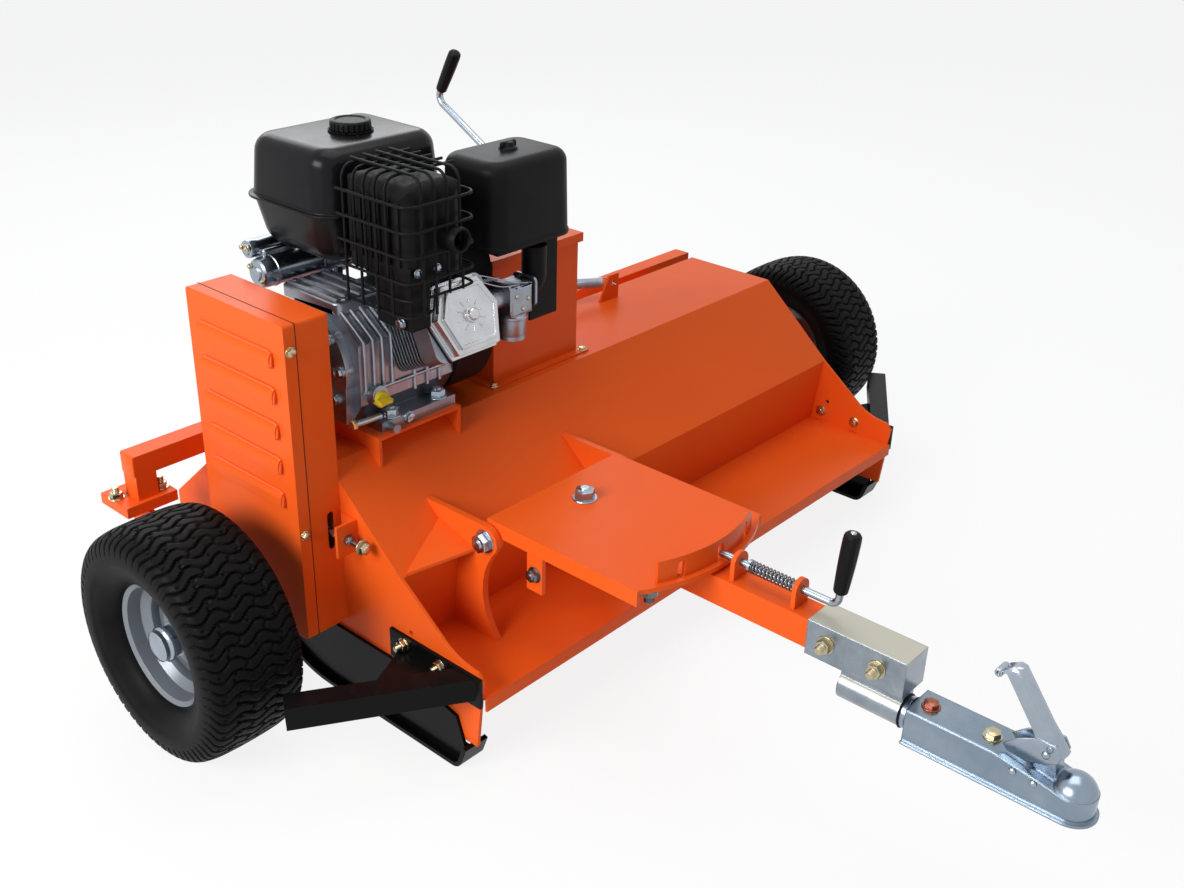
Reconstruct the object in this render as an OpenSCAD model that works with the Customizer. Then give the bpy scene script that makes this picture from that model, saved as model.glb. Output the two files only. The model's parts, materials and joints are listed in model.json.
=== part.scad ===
// Tow-behind flail mower with its own petrol engine, all lengths in mm.
// Forward is -Y, the belt side is -X, Z is up and the tyres stand on z = 0.

/* [Deck] */
// Half width of the deck over its side plates
deck_half_w = 629; // [560:1:700]
// Height of the flat top panel
deck_top_z = 442; // [430:1:470]
// Sheet thickness of the folded shell
sheet_t = 4; // [3:0.5:6]
// Thickness of the side plates
side_t = 6; // [4:0.5:10]
// Front edge of the flat top panel
deck_bend1_y = -25; // [-40:1:-15]
// Lower edge of the sloped front panel
deck_bend2_y = -196; // [-205:1:-190]
// Height of the lower edge of the sloped front panel
deck_bend2_z = 295; // [285:1:305]
// Rear edge of the flat top panel
deck_rear_top_y = 193; // [190:1:200]
// Rear edge of the deck
deck_rear_y = 452; // [445:1:470]
// Height where the sloped rear panel ends
deck_rear_z = 212; // [200:1:225]
// Front edge of the low shelf
shelf_front_y = -385; // [-400:1:-380]
// Top of the low shelf
shelf_z = 151; // [145:1:160]

/* [Rotor and drive] */
// Height of the rotor shaft
rotor_z = 225; // [215:1:240]
// Fore and aft place of the rotor and engine shafts
shaft_y = 77; // [70:1:85]
// Outer radius of the rotor tube
rotor_r = 50; // [40:1:54]
// Radius of the circle of flail pivots
flail_pivot_r = 80; // [78:1:86]
// Length of a flail from its pivot to its edge
flail_len = 90; // [70:1:95]
// Hammers in each row
flail_count = 7; // [5:1:8]
// Width of a hammer's cutting edge
flail_w = 100; // [70:1:110]
// Outer radius of the rotor pulley
rotor_pulley_r = 68; // [55:1:72]
// Outer radius of the engine's clutch pulley
clutch_pulley_r = 60; // [50:1:66]
// Radius of the idler pulley
idler_r = 20; // [15:1:22]

/* [Belt guard] */
// Depth of the belt guard
guard_depth = 84; // [82:1:96]
// Half width of the belt guard
guard_half_w = 127; // [120:1:135]
// Height of the guard over the engine shaft
guard_over = 138; // [120:1:150]
// Depth of the guard under the rotor shaft
guard_under = 77; // [76:1:90]
// Louvres pressed into the guard's cover
louvre_count = 5; // [3:1:6]

/* [Wheels] */
// Radius of a tyre
tyre_r = 203; // [198:1:208]
// Width of a tyre
tyre_w = 175; // [160:1:180]
// Radius of the rim's outer lip
rim_r = 116; // [112:1:122]
// Distance from the side plate to the middle of a tyre
wheel_out = 246; // [244:1:260]
// Fore and aft place of the wheels
wheel_y = 44; // [38:1:50]
// Size of the wheel frame's square tube
frame_tube = 40; // [36:1:44]
// Length of the crank's arm
crank_arm = 158; // [140:1:165]

/* [Engine] */
// Height of the engine bed over the deck
bed_h = 28; // [24:1:34]
// Height of the engine shaft over its foot
shaft_h = 106; // [102:1:110]
// Width of the fuel tank
tank_w = 262; // [240:1:270]
// Depth of the fuel tank, front to rear
tank_d = 215; // [200:1:220]
// Width of the battery box
box_w = 228; // [200:1:240]
// Depth of the battery box, front to rear
box_d = 168; // [150:1:170]
// Height of the battery box
box_h = 240; // [220:1:250]

/* [Hitch] */
// Distance between the hitch lugs' inner faces
lug_gap = 327; // [310:1:340]
// Sideways place of the tongue
tongue_x = -325; // [-330:1:-300]
// Radius of the slotted arc flange
arc_r = 284; // [278:1:290]
// Size of the tongue's square tube
tongue_tube = 50; // [46:1:54]
// Radius of the lock pin
lock_pin_r = 6; // [5:0.5:7]
// Radius of the towing ball that the coupler takes
ball_r = 25; // [24:0.5:26]

/* [Hidden] */
$fn = 48;

// Clearances
run_gap = 0.05;
flat_gap = 0.5;
seat_gap = 0.2;
loose_gap = 0.4;
cut_over = 1;
bend_swell = 0.06;
bend_over = 0.8;

// Deck outline
shelf_rake = 18;
shelf_back_y = deck_bend2_y + shelf_rake;
shelf_lip_h = 25;
rear_fall = 62;
deck_rear_low_z = deck_rear_z - rear_fall;
front_slope = (deck_top_z - deck_bend2_z) / (deck_bend1_y - deck_bend2_y);
rear_slope = (deck_top_z - deck_rear_z) / (deck_rear_y - deck_rear_top_y);
function front_z(y) = deck_bend2_z + (y - deck_bend2_y) * front_slope;
function rear_z(y) = deck_top_z - (y - deck_rear_top_y) * rear_slope;
deck_line = [
    [shelf_front_y, shelf_z - shelf_lip_h],
    [shelf_front_y, shelf_z],
    [shelf_back_y, shelf_z],
    [deck_bend2_y, deck_bend2_z],
    [deck_bend1_y, deck_top_z],
    [deck_rear_top_y, deck_top_z],
    [deck_rear_y, deck_rear_z],
    [deck_rear_y, deck_rear_low_z]
];

// Side plates
nose_slope_in = 86;
nose_slope_y = shelf_front_y + nose_slope_in;
nose_slope_up = 67;
nose_slope_z = shelf_z + nose_slope_up;
nose_top_in = 15;
nose_top_y = shelf_front_y + nose_top_in;
nose_top_up = 47;
nose_top_z = shelf_z + nose_top_up;
nose_dip_r = 90;
nose_set_back = 3;
nose_front_y = shelf_front_y + nose_set_back;
nose_lip_up = 35;
nose_lip_z = shelf_z + nose_lip_up;
nose_rake = 14;
tail_cut = 70;
side_bottom_z = 50;
side_hole_in = 20;
side_hole_y = deck_bend2_y - side_hole_in;
side_hole_up = 49;
side_hole_z = shelf_z + side_hole_up;
side_hole_r = 5;

// Belt guard
guard_sheet = 3;
guard_rim = 22;
guard_x_in = -deck_half_w;
guard_x_out = -deck_half_w - guard_depth;
guard_seam_x = guard_x_out + guard_rim;
guard_corner_r = 6;
shaft_z = deck_top_z + bed_h + shaft_h;
guard_z0 = rotor_z - guard_under;
guard_z1 = shaft_z + guard_over;
guard_hole_r = 40;
louvre_share = 0.76;
louvre_h = 24;
louvre_out = 9;
louvre_first = 62;
louvre_pitch = 61;
guard_screw_r = 6;
guard_screw_h = 5;

// Rotor
rotor_shaft_r = 17.5;
rotor_wall = 8;
rotor_end_gap = 44;
rotor_vent_r = 8;
bearing_t = 26;
bearing_flange_t = 10;
bearing_flange_r = 55;
bearing_boss_r = 40;
ear_t = 6;
ear_r = 15;
ear_gap = 1;
hammer_boss_r = 13;
hammer_boss_w = 36;
hammer_shank_t = 12;
hammer_edge_t = 16;
hammer_edge_h = 30;
pivot_r = 6;
row_angles = [270, 30, 150];
flail_pitch = (2 * (deck_half_w - rotor_end_gap) - flail_w) / (flail_count + 2 / 3);

// Belts and pulleys
belt_x = -deck_half_w - 0.512 * guard_depth;
belt_w = 13;
belt_pitch = 20;
belt_in = 8;
belt_out = 1;
groove_gap = 0.5;
groove_depth = 9.5;
pulley_w = 44;
clutch_hub_r = 30;
clutch_hub_len = 20;
engine_shaft_r = 12.7;
idler_axle_r = 6;
idler_w = 36;
stud_r = 6;

stud_off = 4;
stud_x = belt_x + idler_w / 2 + stud_off;
cheek_t = 6;
cheek_h = 30;
nut_r = 10;
nut_t = 9;
tab_out = 42;
tab_y = shaft_y - guard_half_w - tab_out;
stud_out = 36;
stud_front_y = tab_y - stud_out;
tab_t = 6;
tab_h = 58;
tab_w = 42;
slot_h = 70;
idler_up = 111;
idler_z = rotor_z + idler_up;
idler_gap = 0.4;

// Wheels
wheel_x = deck_half_w + wheel_out;
axle_z = tyre_r;
axle_r = 12.5;
rim_half = 56;
rim_t = 3;
bead_in = 14;
bead_r = rim_r - bead_in;
drop_in = 30;
drop_r = rim_r - drop_in;
disc_x = 8;
hub_r = 30;
hub_in = 48;
hub_out = 30;
cap_r = 26;
cap_h = 24;
tyre_wall = 11;
tread_groove = 6;
tread_groove_w = 7;
tread_blocks = 30;

// Wheel frame and crank
hinge_back = 51;
hinge_y = deck_rear_top_y + hinge_back;
hinge_drop = 20;
hinge_z = deck_top_z - hinge_drop;
hinge_x = 360;
hinge_pin_r = 10;
hinge_ear_r = 17;
hinge_ear_t = 12;
hinge_lug_t = 8;
hinge_lug_base = 34;
beam_back = 96;
beam_y = hinge_y + beam_back;
beam_drop = 56;
beam_z = hinge_z - beam_drop;
frame_short = 92;
frame_end_x = wheel_x - frame_short;
foot_t = 10;
leg_len = 46;
foot_w = 100;
foot_d = 86;
arm_t = 10;
arm_clear = 22.5;
arm_x = wheel_x - tyre_w / 2 - arm_clear;
arm_hub_r = 42;
arm_neck = 26;
lift_range = 15;
screw_lean = 29;
nut_arm = 172;
crank_x = -10;
screw_r = 9;
screw_low = 40;
crank_top = 342;
crank_rod_r = 7;
grip_r = 12;
grip_len = 92;
grip_gap = 20;
crank_bend = 18;
nut_body_r = 17;
nut_trunnion_r = 9;
nut_half = 16;
lever_t = 8;
lever_r = 24;
lever_half = 20;
nut_clear = 1;
guide_r = 16;
guide_t0 = 90;
guide_t1 = 200;
post_t = 6;
post_lap = 9;
post_front_y = deck_rear_top_y - post_lap;
post_rear_out = 39;
post_rear_y = deck_rear_top_y + post_rear_out;
post_up = 58;
post_front_z = deck_top_z + post_up;

// Engine bed and engine
bed_t = 6;
bed_front_out = 12;

bed_in = 26;
bed_short = 36;
bed_top_z = deck_top_z + bed_h;
pto_gap = 57;
pto_x = -deck_half_w + pto_gap;
case_len = 222;
cover_t = 16;
foot_x0 = 45;
foot_short = 57;
foot_len = case_len - foot_short;
foot_front = 122;
foot_front_y = shaft_y - foot_front;
bed_front_y = foot_front_y - bed_front_out;
bed_x0 = pto_x + bed_in;
bed_w = case_len - bed_short;
foot_rear = 113;
foot_rear_y = shaft_y + foot_rear;
bed_rear_y = foot_rear_y;
foot_h = 18;
foot_bolt_in = 60;
foot_bolt_dx = foot_len - foot_bolt_in;
foot_bolt_lap = 33;
foot_bolt_dy = foot_front + foot_rear - foot_bolt_lap;
foot_bolt_r = 8;
foot_bolt_x = 77;
cyl_gap = 1;
cyl_lean = 25;
barrel_r = 54;
fin_w = 136;
fin_d = 122;
fin_t = 3;
fin_pitch = 8;
fin_start = 108;
fin_count = 10;
head_start = 186;
head_h = 38;
head_w = 142;
cyl_off = case_len - head_w / 2 - cyl_gap;
head_d = 124;
head_r = 18;
cover_flange_h = 7;
cover_body_h = 24;
cover_w = 138;
cover_d = 116;
cover_step = 9;
cover_bolt_r = 9;
muffler_w = 118;
muffler_d = 152;
muffler_h = 148;
muffler_fore = 220;
muffler_front_y = shaft_y - muffler_fore;
muffler_in = 32;
muffler_x0 = pto_x + muffler_in;
muffler_up = 184;
muffler_z0 = shaft_z + muffler_up;
muffler_r = 24;
muffler_rib_h = 4;
muffler_rib_w = 8;
muffler_ribs = 6;
outlet_r = 14;
outlet_len = 4;
outlet_x = 92;
outlet_z = 56;
shield_t = 3;
shield_h = 80;
wire_r = 2.4;
wire_gap = 13;
wire_levels = 4;
wire_low = 4;
wire_bend_r = 20;
wire_side_n = 5;
wire_front_n = 4;
clip_w = 10;
wire_touch = 0.3;
tank_fore = 52;
tank_front_y = shaft_y - tank_fore;
tank_in = 10;
tank_x0 = pto_x + tank_in;
tank_up = 170;
tank_z0 = shaft_z + tank_up;
tank_low_h = 84;
tank_high_h = 104;
tank_flange_t = 4;
tank_flange_w = 9;
tank_corner_r = 34;
fuel_cap_r = 34;
fuel_cap_h = 16;
cleaner_in = 57;
cleaner_w = 180;
cleaner_fore = 197;
cleaner_y0 = shaft_y - cleaner_fore;
cleaner_d = 133;
cleaner_up = 177;
cleaner_z0 = shaft_z + cleaner_up;
cleaner_h = 142;
cleaner_r = 34;
cleaner_top_r = 38;
knob_r = 13;
knob_h = 14;
plate_t = 4;
base_h = 12;
bracket_h = 135;
bracket_w = 68;
carb_r = 22;
carb_fore = 175;
carb_y = shaft_y - carb_fore;
carb_up = 79;
carb_z = shaft_z + carb_up;
carb_reach = 79;
carb_x = pto_x + cyl_off + head_w / 2 + carb_reach;
cleaner_x0 = carb_x - cleaner_in;
bowl_r = 25;
bowl_h = 48;
elbow_r = 25;
elbow_in = 3;
shroud_fore = 107;
shroud_front_y = shaft_y - shroud_fore;
blower_x0 = pto_x + case_len;
blower_t = 84;
blower_r = 122;
recoil_t = 26;
recoil_r = 92;
recoil_rib = 7;
starter_r = 27;
starter_back = 113;
starter_y = shaft_y + starter_back;
starter_up = 129;
starter_z = shaft_z + starter_up;
starter_out = 13;
starter_x0 = pto_x - starter_out;
starter_stay_t = 20;
solenoid_r = 16;
solenoid_dy = 26;
solenoid_dz = 36;
solenoid_len = 92;
dip_in = 45;
dip_x = pto_x + dip_in;
dip_drop = 40;
dip_z = shaft_z - dip_drop;
dip_r = 14;
dip_h = 20;
drain_r = 10;

// Battery box
box_gap = 25;
box_x0 = blower_x0 + blower_t + recoil_t + box_gap;
box_fore = 69;
box_y0 = shaft_y - box_fore;
box_t = 3;
box_flange = 18;
lid_t = 3;
lid_lip = 14;
lid_over = 4;

// Spring between the deck and the crank post
spring_lug_x = 285;
spring_lug_fore = 43;
spring_lug_y = deck_rear_top_y - spring_lug_fore;
spring_lug_up = 36;
spring_lug_z = deck_top_z + spring_lug_up;
spring_lug_w = 40;
spring_lug_h = 54;
spring_lug_t = 5;
spring_hole_r = 6;
spring_r = 10;
spring_wire = 1.5;
spring_pitch = 4.2;
spring_turns = 24;
spring_hook = 16;
eye_back = 52;
eye_y = deck_rear_top_y + eye_back;
eye_up = 58;
eye_z = deck_top_z + eye_up;
eye_r = 12;
eye_hole_r = 6;

// Skids
skid_t = 8;
skid_x_out = 18;
skid_w = 50;
skid_web_t = 6;
skid_set_back = 60;
skid_front_y = shelf_front_y + skid_set_back;
skid_flat_y = -10;
skid_front_r = 25;
skid_front_turn = 70;
skid_lip = 32;
skid_rear_r = 250;
skid_rear_turn = 30;
skid_web_up = 23;
skid_web_z = shelf_z - skid_web_up;
skid_web_fore = 22;
skid_web_front = 92;

// Deflector bars
bar_size = 40;
bar_drop = 3;
bar_z = shelf_z - bar_drop;
bar_set_back = 14;
bar_y = shelf_front_y + bar_set_back;
bar_len = 293;
bar_back = 32;
bracket_plate_t = 6;
bracket_lap = 10;
bracket_rear_y = shelf_back_y + bracket_lap;
bracket_down = 15;
bracket_low_z = shelf_z - bracket_down;
bracket_up = 40;
bracket_high_z = shelf_z + bracket_up;
gusset_t = 6;
gusset_lap = 14;
gusset_rear_y = shelf_back_y - gusset_lap;
gusset_up = 10;
gusset_out = 138;
bracket_bolt_r = 8;
bracket_bolt_h = 7;
bracket_bolt_in = [25, 112];
bracket_bolts = [for (d = bracket_bolt_in) shelf_back_y - d];
bracket_bolt_up = 23;
bracket_bolt_z = shelf_z + bracket_bolt_up;
bracket_slot_z = (bracket_low_z + bracket_bolt_z) / 2;

// Hitch lugs and plate
lug_t = 12;
lug_fin_in = 80;
lug_fin_y = deck_bend2_y + lug_fin_in;
lug_boss_out = 62;
lug_boss_y = deck_bend2_y - lug_boss_out;
lug_boss_up = 42;
lug_boss_z = deck_bend2_z + lug_boss_up;
lug_boss_r = 28;
lug_tip_out = 89;
lug_tip_y = deck_bend2_y - lug_tip_out;
lug_mid_out = 56;
lug_mid_y = deck_bend2_y - lug_mid_out;
lug_mid_drop = 60;
lug_mid_z = deck_bend2_z - lug_mid_drop;
lug_x_right = tongue_x - lug_gap / 2;
lug_x_left = tongue_x + lug_gap / 2;
gusset_plate_t = 6;
gusset_plate_in = 46;
gusset_plate_in_y = deck_bend2_y + gusset_plate_in;
gusset_plate_reach = 118;
gusset_plate_out = 40;
gusset_plate_front_y = deck_bend2_y - gusset_plate_out;
hinge_bolt_r = 8;
hinge_bolt_head_r = 14;
hinge_bolt_head_h = 15;
plate_thick = 8;
plate_up = 35;
plate_top_z = lug_boss_z + plate_up;
plate_lap = 8;
plate_rear_y = lug_boss_y + plate_lap;
plate_side_gap = 2;
plate_flange_h = 27;

plate_corner = 16;
plate_nose = 10;
plate_lead = 266;
pivot_out = 62;
pivot_y = lug_boss_y - pivot_out;
plate_front_y = pivot_y - plate_lead;
pivot_bolt_r = 10;
pivot_head_r = 15;
pivot_head_h = 10;
arc_t = 8;
arc_half_turn = 25.5;
arc_corner_r = 34;
arc_low_gap = 2;
arc_up = 38;
arc_high_z = plate_top_z + arc_up;
slot_turn = 17;
slot_w = 14;
slot_len = 32;
swing_gap = 7;
stop_t = 8;
stop_d = 34;
stop_out = 83;
stop_h = 94;
stop_bolt_r = 9;
stop_bolt_h = 10;

// Tongue, lock pin and coupler
tongue_tail = 35;
tongue_rear_y = pivot_y + tongue_tail;

tongue_wall = 4;
tongue_top_z = plate_top_z - plate_thick - swing_gap;
tongue_z = tongue_top_z - tongue_tube / 2;
pin_up = 13;
pin_z = plate_top_z + pin_up;
pin_ear_out = [36, 148];
pin_ears = [for (d = pin_ear_out) pivot_y - arc_r - d];
tongue_lead = 148;
tongue_front_y = pin_ears[1] - tongue_lead;
pin_ear_t = 8;
pin_ear_w = 36;
pin_bend_out = 66;
pin_bend_y = pin_ears[1] - pin_bend_out;
pin_bend_r = 14;
pin_handle_len = 30;
pin_collar_r = 10.5;
pin_collar_t = 5;
pin_tip_gap = 0.5;
handle_grip_r = 11;
handle_grip_len = 112;
handle_lean = 5;
lock_wire = 1.4;
lock_coil_r = 9.2;
lock_turns = 13;
sleeve_wall = 5;
sleeve_gap = 0.2;
sleeve_lap = 112;
sleeve_rear_y = tongue_front_y + sleeve_lap;
sleeve_lead = 53;
sleeve_front_y = tongue_front_y - sleeve_lead;
sleeve_bolt_r = 7;
sleeve_bolt_head = 10;
sleeve_bolt_in = [34, 120];
sleeve_bolt_ys = [for (d = sleeve_bolt_in) sleeve_rear_y - d];
swivel_r = 25;
swivel_drop = 69;
swivel_z = tongue_z - swivel_drop;
swivel_in = 57;
swivel_rear_y = sleeve_rear_y - swivel_in;
swivel_short = 5;
swivel_front_y = sleeve_front_y + swivel_short;
saddle_w = 30;
shank_r = 19;
ring_t = 5;
ring_gap = 1.5;
body_gap = 14;
body_rear_y = swivel_front_y - body_gap;
body_w = 64;
body_top = 27;
body_low = 30;
body_t = 4;
body_lip = 5;
body_len = 133;
body_front_y = body_rear_y - body_len;
ball_lead = 108;
ball_y = body_front_y - ball_lead;
dome_wall = 7;
lever_behind = 38;
lever_y = ball_y + lever_behind;
lever_up = 61;
lever_z = swivel_z + lever_up;
lever_pin_r = 5;
lever_w = 36;
lever_plate = 4;
lever_len = 128;
lever_turn = 51;
lever_hook = 22;
top_bolt_r = 9;
top_bolt_h = 8;
top_bolt_in = [23, 118];
top_bolt_ys = [for (d = top_bolt_in) body_rear_y - d];

// The whole part is centred fore and aft on its own length
nose_tip_y = ball_y - ball_r - dome_wall - body_lip;
origin_y = -(nose_tip_y + deck_rear_y) / 2;

// Outline helpers

function unit(v) = v / norm(v);
function left_of(v) = [-v[1], v[0]];
function corner(a, b, c, t) =
    let (n1 = left_of(unit(b - a)), n2 = left_of(unit(c - b)))
    t * (n1 + n2) / (1 + n1 * n2);
function shifted(p, t) = [
    for (i = [0 : len(p) - 1])
        i == 0 ? p[0] + t * left_of(unit(p[1] - p[0]))
        : i == len(p) - 1 ? p[i] + t * left_of(unit(p[i] - p[i - 1]))
        : p[i] + corner(p[i - 1], p[i], p[i + 1], t)
];
function reversed(p) = [for (i = [len(p) - 1 : -1 : 0]) p[i]];
function strip(p, t) = concat(p, reversed(shifted(p, t)));
function arc(c, r, a0, a1, n) = [for (i = [0 : n]) c + r * dir(a0 + (a1 - a0) * i / n)];
function dir(a) = [cos(a), sin(a)];
// A tapered bar between two points, as a four-sided outline
function taper(p, q, hp, hq) =
    let (n = left_of(unit(q - p)))
    [p + hp * n, p - hp * n, q - hq * n, q + hq * n];
// A circle through three points, as centre and radius
function circle3(a, b, c) =
    let (
        d = 2 * (a[0] * (b[1] - c[1]) + b[0] * (c[1] - a[1]) + c[0] * (a[1] - b[1])),
        ux = ((a * a) * (b[1] - c[1]) + (b * b) * (c[1] - a[1]) + (c * c) * (a[1] - b[1])) / d,
        uy = ((a * a) * (c[0] - b[0]) + (b * b) * (a[0] - c[0]) + (c * c) * (b[0] - a[0])) / d
    )
    [[ux, uy], norm(a - [ux, uy])];
function angle_of(v) = atan2(v[1], v[0]);
function arc3(a, b, c, n) =
    let (
        k = circle3(a, b, c),
        t0 = angle_of(a - k[0]),
        t1 = angle_of(b - k[0]),
        t2 = angle_of(c - k[0]),
        turn = (b - a)[0] * (c - b)[1] - (b - a)[1] * (c - b)[0] > 0 ? 1 : -1,
        sweep = turn > 0 ? (t2 - t0 + 720) % 360 : -((t0 - t2 + 720) % 360)
    )
    arc(k[0], k[1], t0, t0 + sweep, n);

module along_x(x0, x1) translate([x0, 0, 0]) rotate([90, 0, 90]) linear_extrude(x1 - x0) children();
module along_y(y0, y1) translate([0, y1, 0]) rotate([90, 0, 0]) linear_extrude(y1 - y0) children();
module along_z(z0, z1) translate([0, 0, z0]) linear_extrude(z1 - z0) children();
module rod_x(x0, x1, y, z, r) translate([x0, y, z]) rotate([0, 90, 0]) cylinder(r = r, h = x1 - x0);
module rod_y(y0, y1, x, z, r) translate([x, y1, z]) rotate([90, 0, 0]) cylinder(r = r, h = y1 - y0);
module rod_z(z0, z1, x, y, r) translate([x, y, z0]) cylinder(r = r, h = z1 - z0);
module hex_x(x0, x1, y, z, r) translate([x0, y, z]) rotate([0, 90, 0]) cylinder(r = r, h = x1 - x0, $fn = 6);
module hex_y(y0, y1, x, z, r) translate([x, y1, z]) rotate([90, 0, 0]) cylinder(r = r, h = y1 - y0, $fn = 6);
module hex_z(z0, z1, x, y, r) translate([x, y, z0]) cylinder(r = r, h = z1 - z0, $fn = 6);
module box(a, b) translate(a) cube(b - a);
module rounded(w, h, r) {
    translate([r, 0]) square([w - 2 * r, h]);
    translate([0, r]) square([w, h - 2 * r]);
    for (x = [r, w - r], y = [r, h - r]) translate([x, y]) circle(r = r);
}
module slot(w, l) {
    square([w, l - w], center = true);
    for (s = [-1, 1]) translate([0, s * (l - w) / 2]) circle(r = w / 2);
}
// A square tube's section
module tube_section(size, wall) {
    difference() {
        square(size, center = true);
        square(size - 2 * wall, center = true);
    }
}
module both() {
    children();
    mirror([1, 0, 0]) children();
}
// A round bar bent about X, from one angle on by a turn
module bend_x(y, z, bend, a0, turn, r) {
    translate([0, y, z])
    rotate([90, 0, 90])
    rotate(a0)
    rotate_extrude(angle = turn)
    translate([bend, 0])
    circle(r = r + bend_swell);
}

// A tube through a list of points, given with its ring frames
coil_rings = 8;
coil_sides = 6;
function cross3(a, b) = [
    a[1] * b[2] - a[2] * b[1],
    a[2] * b[0] - a[0] * b[2],
    a[0] * b[1] - a[1] * b[0]
];
function tangent(p, i) = unit(p[min(i + 1, len(p) - 1)] - p[max(i - 1, 0)]);
function side_of(t, ref) = unit(ref - (ref * t) * t);
function frames(p, i, ref, out) =
    i == len(p) ? out
    : let (t = tangent(p, i), s = side_of(t, ref))
        frames(p, i + 1, s, concat(out, [[s, cross3(t, s)]]));
module tube_on(p, r, ref) {
    f = frames(p, 0, ref, []);
    n = len(p);
    m = coil_sides;
    pts = [
        for (i = [0 : n - 1], k = [0 : m - 1])
            p[i] + r * (cos(360 * k / m) * f[i][0] + sin(360 * k / m) * f[i][1])
    ];
    walls = [
        for (i = [0 : n - 2], k = [0 : m - 1])
            each [
                [i * m + k, (i + 1) * m + (k + 1) % m, i * m + (k + 1) % m],
                [i * m + k, (i + 1) * m + k, (i + 1) * m + (k + 1) % m]
            ]
    ];
    first = [for (k = [1 : m - 2]) [0, k, k + 1]];
    last = [for (k = [1 : m - 2]) [(n - 1) * m, (n - 1) * m + k + 1, (n - 1) * m + k]];
    polyhedron(points = pts, faces = concat(walls, first, last));
}
// Least gap of a coil to itself, measured between points over half a curl apart
function least_gap(p, r) =
    min([
        for (i = [0 : len(p) - 1], j = [i + floor(coil_rings / 2) : len(p) - 1])
            norm(p[i] - p[j])
    ]) - 2 * r;
function coil(r, pitch, turns) = [
    for (i = [0 : turns * coil_rings])
        [r * cos(360 * i / coil_rings), r * sin(360 * i / coil_rings), pitch * i / coil_rings]
];

// Deck

module deck_shell() {
    color("orangered")
    along_x(-deck_half_w + side_t, deck_half_w - side_t)
    polygon(strip(deck_line, -sheet_t));
}

side_outline = concat(
    [
        [deck_rear_top_y, deck_top_z],
        [deck_bend1_y, deck_top_z],
        [deck_bend2_y, deck_bend2_z],
        [nose_slope_y, nose_slope_z]
    ],
    arc3(
        [nose_slope_y, nose_slope_z],
        [(nose_slope_y + nose_top_y) / 2, (nose_slope_z + nose_top_z) / 2 - nose_dip_r / 16],
        [nose_top_y, nose_top_z],
        6
    ),
    [
        [nose_front_y, nose_lip_z],
        [nose_front_y + nose_rake, side_bottom_z],
        [deck_rear_y - tail_cut, side_bottom_z],
        [deck_rear_y, side_bottom_z + tail_cut],
        [deck_rear_y, deck_rear_z]
    ]
);
module side_plate(x0, x1) {
    along_x(x0, x1)
    difference() {
        polygon(side_outline);
        translate([side_hole_y, side_hole_z]) circle(r = side_hole_r);
        translate([shaft_y, rotor_z]) circle(r = rotor_shaft_r + sheet_t);
    }
}
module side_plate_right() color("orangered") side_plate(-deck_half_w, -deck_half_w + side_t);
module side_plate_left() color("orangered") side_plate(deck_half_w - side_t, deck_half_w);

lug_outline = concat(
    [
        [lug_fin_y, front_z(lug_fin_y)],
        [deck_bend2_y, deck_bend2_z],
        [shelf_back_y, shelf_z],
        [lug_tip_y, shelf_z]
    ],
    arc3(
        [lug_tip_y, shelf_z],
        [lug_mid_y, lug_mid_z],
        [lug_boss_y - lug_boss_r * cos(20), lug_boss_z - lug_boss_r * sin(20)],
        10
    ),
    arc([lug_boss_y, lug_boss_z], lug_boss_r, 190, 90, 8)
);
module lug(x0, x1) {
    along_x(x0, x1)
    difference() {
        polygon(lug_outline);
        translate([lug_boss_y, lug_boss_z]) circle(r = hinge_bolt_r + run_gap);
    }
}
// The slanted gusset between the right lug and the front panels
module lug_gusset() {
    xi = lug_x_right - lug_t;
    xo = xi - gusset_plate_reach;
    a = [xi, gusset_plate_in_y, front_z(gusset_plate_in_y)];
    b = [xo, deck_bend2_y, deck_bend2_z];
    c = [xi, gusset_plate_front_y, lug_boss_z - lug_boss_r];
    t = [0, 0, gusset_plate_t];
    polyhedron(
        points = [a, b, c, a + t, b + t, c + t],
        faces = [[0, 1, 2], [5, 4, 3], [0, 3, 4], [0, 4, 1], [1, 4, 5], [1, 5, 2], [2, 5, 3], [2, 3, 0]]
    );
}
module hitch_lugs() {
    color("orangered") {
        lug(lug_x_right - lug_t, lug_x_right);
        lug(lug_x_left, lug_x_left + lug_t);
        lug_gusset();
    }
}

module engine_bed() {
    x1 = bed_x0 + bed_w;
    web = [
        [bed_front_y, bed_top_z - bed_t],
        [bed_rear_y, bed_top_z - bed_t],
        [bed_rear_y, deck_top_z],
        [deck_bend1_y, deck_top_z],
        [bed_front_y, front_z(bed_front_y)]
    ];
    color("orangered") {
        box([bed_x0, bed_front_y, bed_top_z - bed_t], [x1, bed_rear_y, bed_top_z]);
        along_x(bed_x0, bed_x0 + bed_t) polygon(web);
        along_x(x1 - bed_t, x1) polygon(web);
    }
}

module battery_box() {
    a = [box_x0, box_y0, deck_top_z];
    b = [box_x0 + box_w, box_y0 + box_d, deck_top_z + box_h];
    f = [box_flange, box_flange, 0];
    color("orangered")
    difference() {
        union() {
            box(a, b);
            box(a - f, [b[0] + box_flange, b[1] + box_t, deck_top_z + box_t]);
        }
        box(a + [box_t, box_t, box_t], b + [-box_t, -box_t, cut_over]);
    }
}
module battery_box_lid() {
    z = deck_top_z + box_h;
    o = box_t + lid_over;
    a = [box_x0 - o, box_y0 - o, z - lid_lip];
    b = [box_x0 + box_w + o, box_y0 + box_d + o, z + lid_t];
    color("orangered")
    difference() {
        box(a, b);
        box(a + [lid_t, lid_t, -cut_over], [b[0] - lid_t, b[1] - lid_t, z]);
    }
}

// Belt guard

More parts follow.
